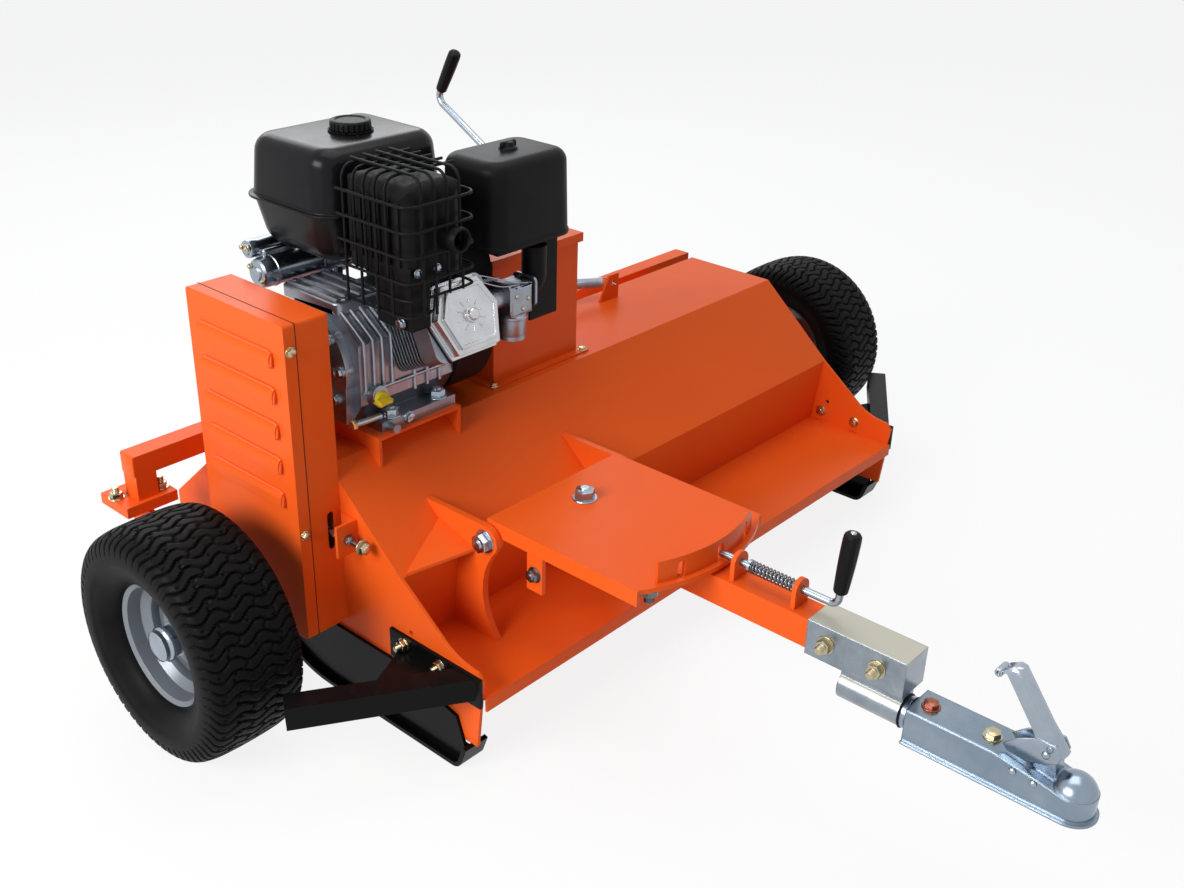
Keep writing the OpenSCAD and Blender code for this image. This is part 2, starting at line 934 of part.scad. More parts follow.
guard_y0 = shaft_y - guard_half_w;
guard_y1 = shaft_y + guard_half_w;
module guard_outline(inset) {
    translate([guard_y0 + inset, guard_z0 + inset])
    rounded(
        guard_y1 - guard_y0 - 2 * inset,
        guard_z1 - guard_z0 - 2 * inset,
        guard_corner_r - inset
    );
}
module belt_guard_back() {
    color("orangered")
    difference() {
        along_x(guard_seam_x, guard_x_in) guard_outline(0);
        along_x(guard_seam_x - cut_over, guard_x_in - guard_sheet) guard_outline(guard_sheet);
        rod_x(guard_x_in - guard_sheet - cut_over, guard_x_in + cut_over, shaft_y, shaft_z, guard_hole_r);
        rod_x(guard_x_in - guard_sheet - cut_over, guard_x_in + cut_over, shaft_y, rotor_z, guard_hole_r);
        along_y(guard_y0 - cut_over, guard_y0 + guard_sheet + cut_over)
        translate([stud_x, idler_z])
        slot(2 * (stud_r + cut_over), slot_h);
    }
}
function louvre_z(i) = guard_z1 - louvre_first - i * louvre_pitch;
louvre_half = guard_half_w * louvre_share;
function louvre_out_line(inset) = concat(
    [[0, louvre_h / 2 - inset]],
    [
        for (i = [1 : 6])
            [
                -(louvre_out - inset) * sin(90 * i / 6),
                (louvre_h / 2 - inset) * (1 - 2 * (1 - cos(90 * i / 6)) / 2)
            ]
    ],
    [[-(louvre_out - inset), -louvre_h / 2], [0, -louvre_h / 2]]
);
module belt_guard_cover() {
    color("orangered")
    difference() {
        union() {
            difference() {
                along_x(guard_x_out, guard_seam_x) guard_outline(0);
                along_x(guard_x_out + guard_sheet, guard_seam_x + cut_over) guard_outline(guard_sheet);
            }
            for (i = [0 : louvre_count - 1])
                translate([guard_x_out, 0, louvre_z(i)])
                along_y(shaft_y - louvre_half, shaft_y + louvre_half)
                polygon(louvre_out_line(0));
        }
        for (i = [0 : louvre_count - 1])
            translate([guard_x_out, 0, louvre_z(i)]) {
                along_y(shaft_y - louvre_half + guard_sheet, shaft_y + louvre_half - guard_sheet)
                polygon(concat(
                    louvre_out_line(guard_sheet),
                    [[guard_sheet + cut_over, -louvre_h / 2], [guard_sheet + cut_over, 0]]
                ));
            }
    }
    color("goldenrod")
    for (z = [guard_z1 - guard_rim * 2, guard_z0 + guard_under * 2.6])
        hex_y(guard_y0 - guard_screw_h, guard_y0, guard_x_out + guard_rim / 2, z, guard_screw_r);
}

module tension_tab() {
    z0 = idler_z - tab_h / 2;
    color("orangered")
    difference() {
        union() {
            box([-deck_half_w - tab_w, tab_y, z0], [-deck_half_w, tab_y + tab_t, z0 + tab_h]);
            box([-deck_half_w - tab_t, tab_y, z0], [-deck_half_w, tab_y + tab_w * 0.8, z0 + tab_h]);
        }
        rod_y(tab_y - cut_over, tab_y + tab_t + cut_over, stud_x, idler_z, stud_r + loose_gap);
    }
}

// Skids and deflectors

skid_turn_end = [skid_front_y, skid_front_r] + skid_front_r * dir(270 - skid_front_turn);
skid_line = concat(
    [skid_turn_end - skid_lip * dir(-skid_front_turn)],
    arc([skid_front_y, skid_front_r], skid_front_r, 270 - skid_front_turn, 270, 8),
    arc([skid_flat_y, skid_rear_r], skid_rear_r, 270, 270 + skid_rear_turn, 6)
);
skid_end = skid_line[len(skid_line) - 1];
skid_web = concat(
    [for (i = [1 : len(skid_line) - 1]) skid_line[i]],
    [
        [skid_end[0], skid_web_z],
        [bracket_rear_y, skid_web_z],
        [skid_front_y, skid_web_front],
        [skid_front_y - skid_web_fore, skid_lip]
    ]
);
module skid() {
    x = -deck_half_w - skid_x_out;
    along_x(x, x + skid_w) polygon(strip(skid_line, skid_t));
    along_x(-deck_half_w - skid_web_t, -deck_half_w) polygon(skid_web);
}
module skids() color("dimgray") both() skid();

module deflector() {
    x = -deck_half_w;
    difference() {
        union() {
            box([x - bracket_plate_t, nose_front_y, bracket_low_z], [x, bracket_rear_y, bracket_high_z]);
            intersection() {
                translate([x - bracket_plate_t, bar_y, bar_z])
                rotate([0, 0, 180 - bar_back])
                translate([-bar_size, -bar_size, 0])
                cube([bar_len + bar_size, bar_size, bar_size]);
                box(
                    [x - bar_len, nose_front_y - bar_len, bar_z],
                    [x - bracket_plate_t / 2, 0, bar_z + bar_size]
                );
            }
            along_z(bar_z + gusset_up, bar_z + gusset_up + gusset_t)
            polygon([
                [x, bar_y + bar_size / 2],
                [x, gusset_rear_y],
                [x - gusset_out, bar_y + bar_size + gusset_out * tan(bar_back) - bar_size / 4]
            ]);
        }
        translate([x - bracket_plate_t, (bracket_bolts[0] + bracket_bolts[1]) / 2, bracket_slot_z])
        along_x(-cut_over, bracket_plate_t + cut_over)
        rotate(90) slot(bracket_bolt_r, bar_size);
    }
    for (y = bracket_bolts) hex_x(
        x - bracket_plate_t - bracket_bolt_h, x - bracket_plate_t, y, bracket_bolt_z, bracket_bolt_r
    );
}
module deflectors() color("black") both() deflector();

// Lugs on the deck's rear: wheel-frame hinges, crank post and spring lug

screw_across = dir(screw_lean);
screw_up = left_of(screw_across);
screw_off = nut_arm * (1 + cos(lift_range / 2)) / 2;
function screw_at(t) = [hinge_y, hinge_z] + screw_off * screw_across + t * screw_up;
nut_rest = [hinge_y, hinge_z] + nut_arm * dir(screw_lean - lift_range / 2);
module along_screw(t) {
    p = screw_at(t);
    translate([crank_x, p[0], p[1]]) rotate([screw_lean, 0, 0]) children();
}
module hinge_lug(x0) {
    along_x(x0, x0 + hinge_lug_t) {
        translate([hinge_y, hinge_z]) circle(r = hinge_ear_r);
        polygon([
            [hinge_y - hinge_lug_base, rear_z(hinge_y - hinge_lug_base)],
            [hinge_y + hinge_lug_base, rear_z(hinge_y + hinge_lug_base)],
            [hinge_y + hinge_ear_r, hinge_z],
            [hinge_y - hinge_ear_r, hinge_z]
        ]);
    }
}
module crank_post() {
    low = screw_at(guide_t0);
    high = screw_at(guide_t1);
    side = [
        [post_front_y, deck_top_z],
        [deck_rear_top_y, deck_top_z],
        [post_rear_y, rear_z(post_rear_y)],
        low,
        high,
        high - guide_r * screw_across,
        [post_front_y, post_front_z]
    ];
    difference() {
        union() {
            for (s = [-1, 1])
                along_x(crank_x + s * guide_r - post_t / 2, crank_x + s * guide_r + post_t / 2)
                polygon(side);
            along_screw(guide_t0) cylinder(r = guide_r, h = guide_t1 - guide_t0);
        }
        along_screw(guide_t0 - cut_over) cylinder(
            r = screw_r + run_gap, h = guide_t1 - guide_t0 + 2 * cut_over
        );
    }
    // Eye for the spring
    difference() {
        union() {
            rod_x(crank_x + guide_r, crank_x + guide_r + post_t * 2, eye_y, eye_z, eye_r / 2);
            rod_z(
                eye_z - post_t / 2, eye_z + post_t / 2, crank_x + guide_r + post_t * 2 + eye_r / 2,
                eye_y, eye_r
            );
        }
        rod_z(eye_z - post_t, eye_z + post_t, crank_x + guide_r + post_t * 2 + eye_r / 2, eye_y, eye_hole_r);
    }
}
module deck_lugs() {
    color("orangered") {
        for (s = [-1, 1]) {
            hinge_lug(s * hinge_x + hinge_ear_t / 2 + flat_gap);
            hinge_lug(s * hinge_x - hinge_ear_t / 2 - flat_gap - hinge_lug_t);
            rod_x(
                s * hinge_x - hinge_ear_t / 2 - hinge_lug_t,
                s * hinge_x + hinge_ear_t / 2 + hinge_lug_t,
                hinge_y, hinge_z, hinge_pin_r
            );
        }
        crank_post();
        difference() {
            along_y(spring_lug_y - spring_lug_t / 2, spring_lug_y + spring_lug_t / 2)
            polygon([
                [spring_lug_x - spring_lug_w, deck_top_z],
                [spring_lug_x + spring_lug_w / 2, deck_top_z],
                [spring_lug_x + spring_lug_w / 2, deck_top_z + spring_lug_h],
                [spring_lug_x - spring_lug_w / 4, deck_top_z + spring_lug_h]
            ]);
            rod_y(
                spring_lug_y - spring_lug_t, spring_lug_y + spring_lug_t,
                spring_lug_x, spring_lug_z, spring_hole_r
            );
        }
    }
}

// The spring hooks through the lug, winds, and runs on straight to the eye
spring_a = [spring_lug_x, spring_lug_y, spring_lug_z];
spring_b = [crank_x + guide_r + post_t * 2 + eye_r / 2, eye_y, eye_z];
spring_from = spring_a + [-spring_hook, spring_lug_t + spring_r, 0];
spring_to = spring_b + [0, 0, post_t];
spring_axis = unit(spring_to - spring_from);
spring_side = side_of(spring_axis, [0, 0, 1]);
spring_face = cross3(spring_axis, spring_side);
function on_spring(q) = spring_from + q[0] * spring_side + q[1] * spring_face + q[2] * spring_axis;
spring_body = [for (q = coil(spring_r, spring_pitch, spring_turns)) on_spring(q)];
spring_end = spring_pitch * spring_turns + spring_hook;
spring_path = concat(
    [
        spring_a - [0, spring_lug_t, 0],
        spring_a,
        spring_a + [-spring_wire, spring_lug_t, spring_wire]
    ],
    spring_body,
    [
        on_spring([0, 0, spring_end]),
        spring_to - eye_r * spring_axis,
        spring_to,
        spring_b,
        spring_b - [0, 0, post_t]
    ]
);
module rear_spring() color("silver") tube_on(spring_path, spring_wire, [0, 0, 1]);
echo(rear_spring_gap = least_gap(spring_path, spring_wire));

// Rotor and drive

module about_x(x, y, z) translate([x, y, z]) rotate([0, 90, 0]) children();
module rotor_bearings() {
    color("slategray")
    both()
    about_x(-deck_half_w + side_t, shaft_y, rotor_z)
    rotate_extrude()
    polygon([
        [rotor_shaft_r + run_gap, 0],
        [bearing_flange_r, 0],
        [bearing_flange_r, bearing_flange_t],
        [bearing_boss_r, bearing_flange_t],
        [bearing_boss_r - bearing_flange_t / 2, bearing_t],
        [rotor_shaft_r + run_gap, bearing_t]
    ]);
}

rotor_half = deck_half_w - rotor_end_gap;
function flail_x(row, i) = -rotor_half + flail_w / 2 + flail_pitch * (i + 0.5 + row / 3 - 1 / 6);
function flail_at(row) = [shaft_y, rotor_z] + flail_pivot_r * dir(row_angles[row]);
module ear(x0) {
    along_x(x0, x0 + ear_t) {
        translate([flail_pivot_r, 0]) circle(r = ear_r);
        translate([rotor_r - rotor_wall / 2, -ear_r]) square([flail_pivot_r - rotor_r + rotor_wall / 2, 2 * ear_r]);
    }
}
module rotor_drum() {
    x_end = belt_x - pulley_w / 2;
    color("dimgray") {
        difference() {
            union() {
                rod_x(-rotor_half, rotor_half, shaft_y, rotor_z, rotor_r);
                rod_x(x_end, -rotor_half, shaft_y, rotor_z, rotor_shaft_r);
                rod_x(rotor_half, deck_half_w - side_t, shaft_y, rotor_z, rotor_shaft_r);
            }
            rod_x(-rotor_half + rotor_wall, rotor_half - rotor_wall, shaft_y, rotor_z, rotor_r - rotor_wall);
            for (k = [0 : 2])
                translate([0, shaft_y, rotor_z])
                rotate([120 * k, 0, 0])
                rod_x(
                    -rotor_half - cut_over, rotor_half + cut_over,
                    (rotor_r - rotor_wall + rotor_shaft_r) / 2, 0, rotor_vent_r
                );
        }
        for (row = [0 : 2], i = [0 : flail_count - 1])
            translate([flail_x(row, i), shaft_y, rotor_z])
            rotate([row_angles[row], 0, 0]) {
                ear(hammer_boss_w / 2 + ear_gap);
                ear(-hammer_boss_w / 2 - ear_gap - ear_t);
                rod_x(
                    -hammer_boss_w / 2 - ear_gap - ear_t, hammer_boss_w / 2 + ear_gap + ear_t,
                    flail_pivot_r, 0, pivot_r
                );
            }
    }
}
module hammer() {
    difference() {
        union() {
            rod_x(-hammer_boss_w / 2, hammer_boss_w / 2, 0, 0, hammer_boss_r);
            box(
                [-hammer_boss_w / 2, -hammer_shank_t / 2, -flail_len + hammer_edge_h / 2],
                [hammer_boss_w / 2, hammer_shank_t / 2, 0]
            );
            along_y(-hammer_edge_t / 2, hammer_edge_t / 2)
            polygon([
                [-flail_w / 2, -flail_len],
                [flail_w / 2, -flail_len],
                [flail_w / 2, -flail_len + hammer_edge_h / 2],
                [hammer_boss_w / 2, -flail_len + hammer_edge_h],
                [-hammer_boss_w / 2, -flail_len + hammer_edge_h],
                [-flail_w / 2, -flail_len + hammer_edge_h / 2]
            ]);
        }
        rod_x(-hammer_boss_w, hammer_boss_w, 0, 0, pivot_r + loose_gap);
    }
}
module flail_row(row) {
    p = flail_at(row);
    color("gray")
    for (i = [0 : flail_count - 1]) translate([flail_x(row, i), p[0], p[1]]) hammer();
}
module flail_row_1() flail_row(0);
module flail_row_2() flail_row(1);
module flail_row_3() flail_row(2);

// A pulley with two grooves, turned about its bore
module pulley(r, bore) {
    h = pulley_w / 2;
    g = belt_w / 2 + groove_gap;
    c = belt_pitch / 2;
    rotate_extrude()
    polygon([
        [bore, -h], [r, -h],
        [r, -c - g], [r - groove_depth, -c - g], [r - groove_depth, -c + g], [r, -c + g],
        [r, c - g], [r - groove_depth, c - g], [r - groove_depth, c + g], [r, c + g],
        [r, h], [bore, h]
    ]);
}
module rotor_pulley() color("gray") about_x(belt_x, shaft_y, rotor_z) pulley(
    rotor_pulley_r, rotor_shaft_r + run_gap
);
module clutch_pulley() {
    color("gray") {
        about_x(belt_x, shaft_y, shaft_z) pulley(clutch_pulley_r, engine_shaft_r - run_gap);
        rod_x(belt_x - pulley_w / 2, pto_x + cover_t, shaft_y, shaft_z, engine_shaft_r);
        rod_x(
            belt_x + pulley_w / 2 - cut_over, belt_x + pulley_w / 2 + clutch_hub_len, shaft_y,
            shaft_z, clutch_hub_r
        );
    }
}
// One belt loop: two circles and the straight runs between them, a hair inside the tangents
run_in = 0.02;
module belt_loop(grow) {
    r1 = rotor_pulley_r + grow;
    r2 = clutch_pulley_r + grow;
    l = shaft_z - rotor_z;
    a = asin((r1 - r2) / l);
    translate([shaft_y, rotor_z]) circle(r = r1);
    translate([shaft_y, shaft_z]) circle(r = r2);
    translate([shaft_y, rotor_z])
    polygon([
        (r1 - run_in) * dir(a),
        [0, l] + (r2 - run_in) * dir(a),
        [0, l] + (r2 - run_in) * dir(180 - a),
        (r1 - run_in) * dir(180 - a)
    ]);
}
module drive_belts() {
    color("black")
    for (s = [-1, 1])
        along_x(belt_x + s * belt_pitch / 2 - belt_w / 2, belt_x + s * belt_pitch / 2 + belt_w / 2)
        difference() {
            belt_loop(belt_out);
            belt_loop(-belt_in);
        }
}
// Where the belts' front run lies at the idler
belt_lean = asin((rotor_pulley_r - clutch_pulley_r) / (shaft_z - rotor_z));
idler_y = shaft_y
    - ((rotor_pulley_r + belt_out + idler_r + idler_gap) - (idler_z - rotor_z) * sin(belt_lean)) / cos(belt_lean);
module tension_stud() {
    color("silver") {
        rod_y(stud_front_y, idler_y - idler_r - cheek_t / 2, stud_x, idler_z, stud_r);
        hex_y(tab_y - nut_t, tab_y - flat_gap, stud_x, idler_z, nut_r);
        hex_y(tab_y + tab_t + 2 * nut_t, tab_y + tab_t + 3 * nut_t, stud_x, idler_z, nut_r);
        box(
            [stud_x - cheek_t / 2, idler_y - idler_r - cheek_t, idler_z - cheek_h / 2],
            [stud_x + cheek_t / 2, idler_y + cheek_h / 2, idler_z + cheek_h / 2]
        );
        rod_x(belt_x - idler_w / 2, stud_x, idler_y, idler_z, idler_axle_r);
    }
}
module idler_pulley() {
    color("gray")
    difference() {
        rod_x(belt_x - idler_w / 2, stud_x - cheek_t / 2 - flat_gap, idler_y, idler_z, idler_r);
        rod_x(belt_x - idler_w, stud_x, idler_y, idler_z, idler_axle_r + run_gap);
    }
}

// Wheels

module tyre_section() {
    w = tyre_w / 2;
    g = tread_groove_w / 2;
    d = tread_groove;
    outer = [
        [bead_r + seat_gap, rim_half - rim_t * 2],
        [rim_r + rim_t * 2, rim_half + rim_t],
        [tyre_r * 0.66, w * 0.93],
        [tyre_r * 0.76, w],
        [tyre_r * 0.86, w * 0.97],
        [tyre_r * 0.95, w * 0.86],
        [tyre_r * 0.985, w * 0.72]
    ];
    crown = [
        [tyre_r * 0.99, w * 0.6 + g], [tyre_r * 0.99 - d, w * 0.6 + g],
        [tyre_r * 0.99 - d, w * 0.6 - g], [tyre_r * 0.993, w * 0.6 - g],
        [tyre_r, w * 0.2 + g], [tyre_r - d, w * 0.2 + g],
        [tyre_r - d, w * 0.2 - g], [tyre_r, w * 0.2 - g]
    ];
    half = concat(outer, crown);
    inner = [
        [bead_r + seat_gap, rim_half - rim_t * 2 - tyre_wall],
        [rim_r + rim_t * 2, rim_half - tyre_wall],
        [tyre_r * 0.76, w - tyre_wall],
        [tyre_r * 0.9 - tyre_wall / 2, w * 0.8 - tyre_wall / 2],
        [tyre_r - tyre_wall - d, w * 0.5]
    ];
    polygon(concat(
        half,
        [for (p = reversed(half)) [p[0], -p[1]]],
        [for (p = inner) [p[0], -p[1]]],
        reversed(inner)
    ));
}
module at_wheel(side) translate([side * wheel_x, wheel_y, axle_z]) rotate([0, side * 90, 0]) children();
module tyre(side) {
    color("black")
    at_wheel(side)
    difference() {
        rotate_extrude() tyre_section();
        for (i = [0 : tread_blocks - 1], s = [-1, 1])
            rotate(360 * (i + s / 4) / tread_blocks)
            translate([tyre_r - tread_groove, -tread_groove_w / 2, s > 0 ? tyre_w * 0.3 : -tyre_w / 2])
            cube([tread_groove * 2, tread_groove_w, tyre_w * 0.2]);
    }
}
module tyre_right() tyre(-1);
module tyre_left() tyre(1);
module rim(side) {
    line = [
        [rim_r, rim_half + rim_t * 2],
        [rim_r - rim_t, rim_half],
        [bead_r, rim_half - rim_t * 2],
        [bead_r - rim_t, rim_half * 0.5],
        [drop_r, rim_half * 0.3],
        [drop_r, -rim_half * 0.3],
        [bead_r - rim_t, -rim_half * 0.5],
        [bead_r, -rim_half + rim_t * 2],
        [rim_r - rim_t, -rim_half],
        [rim_r, -rim_half - rim_t * 2]
    ];
    disc = [
        [drop_r - rim_t / 2, -rim_half * 0.1],
        [drop_r * 0.88, disc_x],
        [drop_r * 0.62, disc_x + rim_t * 2],
        [hub_r + run_gap, disc_x]
    ];
    color("lightgray")
    at_wheel(side)
    union() {
        rotate_extrude() polygon(strip(line, -rim_t));
        rotate_extrude() polygon(strip(disc, rim_t));
    }
}
module rim_right() rim(-1);
module rim_left() rim(1);
module hub(side) {
    color("silver")
    at_wheel(side)
    rotate_extrude()
    polygon(concat(
        [
            [axle_r + run_gap, -hub_in],
            [hub_r - rim_t, -hub_in],
            [hub_r, -hub_in + rim_t],
            [hub_r, hub_out],
            [cap_r, hub_out]
        ],
        [for (a = [0 : 15 : 75]) [cap_r * cos(a), hub_out + cap_h / 2 + cap_h / 2 * sin(a)]],
        [
            [0, hub_out + cap_h],
            [0, hub_out + cap_h / 2],
            [axle_r + run_gap, hub_out + cap_h / 2]
        ]
    ));
}
module hub_right() hub(-1);
module hub_left() hub(1);

foot_z = beam_z - frame_tube / 2 - leg_len;
module wheel_frame() {
    color("orangered") {
        translate([0, beam_y, beam_z]) along_x(-frame_end_x, frame_end_x) tube_section(frame_tube, sheet_t);
        for (s = [-1, 1]) {
            x = s * (frame_end_x - frame_tube / 2);
            along_z(foot_z, beam_z - frame_tube / 2 + sheet_t)
            translate([x, beam_y]) tube_section(frame_tube, sheet_t);
            box(
                [x - foot_w / 2, beam_y - frame_tube / 2 - foot_t, foot_z - foot_t],
                [x + foot_w / 2, beam_y - frame_tube / 2 - foot_t + foot_d, foot_z]
            );
            along_x(s * hinge_x - hinge_ear_t / 2, s * hinge_x + hinge_ear_t / 2)
            difference() {
                union() {
                    translate([hinge_y, hinge_z]) circle(r = hinge_ear_r);
                    polygon(taper(
                        [hinge_y, hinge_z], [beam_y - frame_tube / 2 + sheet_t / 2, beam_z],
                        hinge_ear_r, frame_tube / 2
                    ));
                }
                translate([hinge_y, hinge_z]) circle(r = hinge_pin_r + run_gap);
            }
            along_x(
                crank_x + s * lever_half - lever_t / 2, crank_x + s * lever_half + lever_t / 2
            )
            difference() {
                union() {
                    translate(nut_rest) circle(r = lever_r);
                    polygon(taper(
                        [beam_y, beam_z + frame_tube / 2 - sheet_t / 2], nut_rest, frame_tube / 2, lever_r
                    ));
                }
                translate(nut_rest) circle(r = nut_trunnion_r + run_gap);
            }
            hex_z(foot_z, foot_z + foot_t, x + s * (foot_w / 2 - foot_t), beam_y + frame_tube / 2, foot_t);
            hex_z(foot_z, foot_z + foot_t, x - s * (foot_w / 2 - foot_t * 1.4), beam_y, foot_t);
        }
    }
}
module wheel_arms() {
    top = foot_z - foot_t;
    y0 = beam_y - frame_tube / 2 - foot_t;
    x = frame_end_x - frame_tube / 2;
    color("orangered")
    both() {
        box([-x - foot_w / 2, y0, top - foot_t], [-x + foot_w / 2, y0 + foot_d, top]);
        along_x(-arm_x - arm_t / 2, -arm_x + arm_t / 2) {
            translate([wheel_y, axle_z]) circle(r = arm_hub_r);
            polygon(taper([wheel_y, axle_z], [y0 + foot_d * 0.45, top - foot_t - arm_neck], arm_hub_r, arm_neck));
            translate([y0 + foot_t, top - foot_t - arm_neck]) square([foot_d - foot_t * 2, arm_neck + foot_t / 2]);
            translate([y0 + foot_d * 0.45, top - foot_t - arm_neck]) circle(r = arm_neck);
        }
        rod_x(-wheel_x - hub_out - cap_h / 4, -arm_x, wheel_y, axle_z, axle_r);
        rod_x(-wheel_x + hub_in + flat_gap, -arm_x, wheel_y, axle_z, hub_r - rim_t);
    }
}

module crank_screw() {
    b = crank_bend;
    color("silver") {
        along_screw(-screw_low) cylinder(r = screw_r, h = guide_t1 + foot_t + screw_low);
        along_screw(guide_t1 + flat_gap) cylinder(r = guide_r, h = foot_t);
        along_screw(guide_t1) cylinder(r = crank_rod_r, h = crank_top - b - guide_t1 + bend_over);
        along_screw(crank_top) {
            bend_x(b, -b, b, 90, 90, crank_rod_r);
            rod_y(b - bend_over, crank_arm - b + bend_over, 0, 0, crank_rod_r);
            bend_x(crank_arm - b, b, b, 270, 90, crank_rod_r);
            rod_z(b - bend_over, grip_gap + grip_len / 2, 0, crank_arm, crank_rod_r);
        }
    }
}
module crank_grip() {
    color("black")
    along_screw(crank_top)
    translate([0, crank_arm, grip_gap])
    rotate_extrude()
    polygon([
        [0, grip_len / 2],
        [crank_rod_r + run_gap, grip_len / 2],
        [crank_rod_r + run_gap, 0],
        [grip_r * 0.8, 0],
        [grip_r, grip_len * 0.25],
        [grip_r * 0.9, grip_len * 0.7],
        [grip_r, grip_len * 0.94],
        [grip_r * 0.8, grip_len],
        [0, grip_len]
    ]);
}
module lift_nut() {
    p = nut_rest;
    color("goldenrod")
    difference() {
        union() {
            rod_x(crank_x - nut_half + flat_gap, crank_x + nut_half - flat_gap, p[0], p[1], nut_body_r);
            rod_x(
                crank_x - lever_half - lever_t, crank_x + lever_half + lever_t,
                p[0], p[1], nut_trunnion_r
            );
        }
        translate([crank_x, p[0], p[1]])
        rotate([screw_lean, 0, 0])
        cylinder(r = screw_r + nut_clear, h = 2 * nut_arm, center = true);
    }
}

// Engine

module crankcase() {
    x0 = pto_x + cover_t;
    x1 = pto_x + case_len;
    f0 = pto_x + foot_x0;
    base = bed_top_z;
    color("silver") {
        difference() {
            along_x(x0, x1)
            polygon([
                [foot_front_y + foot_h * 2.6, base + foot_h / 2],
                [foot_rear_y - foot_h * 2.4, base + foot_h / 2],
                [shaft_y + shaft_h, shaft_z - shaft_h / 4],
                [shaft_y + shaft_h, shaft_z + shaft_h / 3],
                [shaft_y + shaft_h / 2, shaft_z + shaft_h * 0.9],
                [shaft_y - shaft_h * 0.4, shaft_z + shaft_h * 0.95],
                [shaft_y - shaft_h, shaft_z + shaft_h * 0.5],
                [shaft_y - shaft_h, shaft_z - shaft_h * 0.5]
            ]);
            rod_x(x0 - cut_over, x1 + cut_over, shaft_y, shaft_z, engine_shaft_r * 2);
        }
        difference() {
            box([f0, foot_front_y, base], [f0 + foot_len, foot_rear_y, base + foot_h]);
            for (i = [0, 1], j = [-1, 1])
                rod_z(
                    base - cut_over, base + foot_h + cut_over,
                    pto_x + foot_bolt_x + i * foot_bolt_dx, (foot_front_y + foot_rear_y) / 2 + j * foot_bolt_dy / 2,
                    foot_bolt_r + loose_gap
                );
        }
        rod_y(
            foot_front_y - drain_r * 2, foot_front_y, f0 + drain_r * 1.5, base + foot_h / 2, drain_r * 0.8
        );
    }
}
module foot_bolts() {
    color("silver")
    for (i = [0, 1], j = [-1, 1]) {
        x = pto_x + foot_bolt_x + i * foot_bolt_dx;
        y = (foot_front_y + foot_rear_y) / 2 + j * foot_bolt_dy / 2;
        hex_z(bed_top_z + foot_h, bed_top_z + foot_h + foot_bolt_r, x, y, foot_bolt_r * 1.7);
        rod_z(bed_top_z, bed_top_z + foot_h, x, y, foot_bolt_r);
    }
}
module crankcase_cover() {
    x0 = pto_x;
    color("silver")
    difference() {
        union() {
            along_x(x0, x0 + cover_t) {
                translate([shaft_y, shaft_z]) circle(r = shaft_h * 0.86);
                polygon([
                    [shaft_y - shaft_h * 0.84, shaft_z],
                    [shaft_y - shaft_h * 0.8, bed_top_z + foot_h],
                    [shaft_y + shaft_h * 0.8, bed_top_z + foot_h],
                    [shaft_y + shaft_h * 0.84, shaft_z]
                ]);
            }
            about_x(x0, shaft_y, shaft_z)
            rotate_extrude()
            polygon([
                [0, 0],
                [shaft_h * 0.42, 0],
                [shaft_h * 0.34, -cover_t * 0.75],
                [0, -cover_t * 0.75]
            ]);
            for (a = [15 : 40 : 355])
                translate([0, shaft_y, shaft_z])
                rotate([a, 0, 0]) {
                    box(
                        [x0 - cover_t / 4, shaft_h * 0.3, -cover_t / 8],
                        [x0 + cover_t / 2, shaft_h * 0.8, cover_t / 8]
                    );
                    hex_x(x0 - cover_t / 2, x0, shaft_h * 0.76, 0, cover_t / 2);
                }
        }
        rod_x(x0 - cover_t, x0 + cover_t + cut_over, shaft_y, shaft_z, engine_shaft_r + run_gap);
    }
}
module along_cylinder(d) {
    translate([pto_x + cyl_off, shaft_y, shaft_z])
    rotate([90 - cyl_lean, 0, 0])
    translate([0, 0, d])
    children();
}
module cylinder_block() {
    color("silver")
    difference() {
        union() {
            along_cylinder(fin_start - shaft_h / 3) cylinder(
                r = barrel_r, h = head_start - fin_start + shaft_h / 3 + fin_t
            );
            for (i = [0 : fin_count - 1])
                along_cylinder(fin_start + i * fin_pitch)
                linear_extrude(fin_t)
                translate([-fin_w / 2, -fin_d / 2])
                rounded(fin_w, fin_d, head_r);
            along_cylinder(head_start)
            linear_extrude(head_h)
            translate([-head_w / 2, -head_d / 2])
            rounded(head_w, head_d, head_r);
        }
        along_x(pto_x, pto_x + case_len)
        polygon([
            [shaft_y + shaft_h, shaft_z - shaft_h],
            [shaft_y - shaft_h, shaft_z - shaft_h],
            [shaft_y - shaft_h, shaft_z + shaft_h * 0.5],
            [shaft_y - shaft_h * 0.4, shaft_z + shaft_h * 0.95],
            [shaft_y + shaft_h, shaft_z + shaft_h * 0.95]
        ]);
    }
}
cover_shape_shares = [[-0.5, 0.06], [-0.3, 0.5], [0.3, 0.5], [0.5, 0.06], [0.34, -0.5], [-0.34, -0.5]];
module cover_shape(w, d) polygon([for (p = cover_shape_shares) [p[0] * w, p[1] * d]]);
module valve_cover() {
    color("silver")
    along_cylinder(head_start + head_h) {
        linear_extrude(cover_flange_h) cover_shape(cover_w, cover_d);
        translate([0, 0, cover_flange_h])
        linear_extrude(cover_body_h - cover_flange_h)
        cover_shape(cover_w - cover_step, cover_d - cover_step);
        translate([0, 0, cover_body_h])
        linear_extrude(cover_flange_h)
        cover_shape(cover_w - 3 * cover_step, cover_d - 3 * cover_step);
        translate([0, 0, cover_body_h + cover_flange_h])
        cylinder(r = cover_bolt_r * 1.5, h = cover_flange_h / 3);
        translate([0, 0, cover_body_h + cover_flange_h])
        cylinder(r = cover_bolt_r, h = cover_bolt_r, $fn = 6);
    }
}

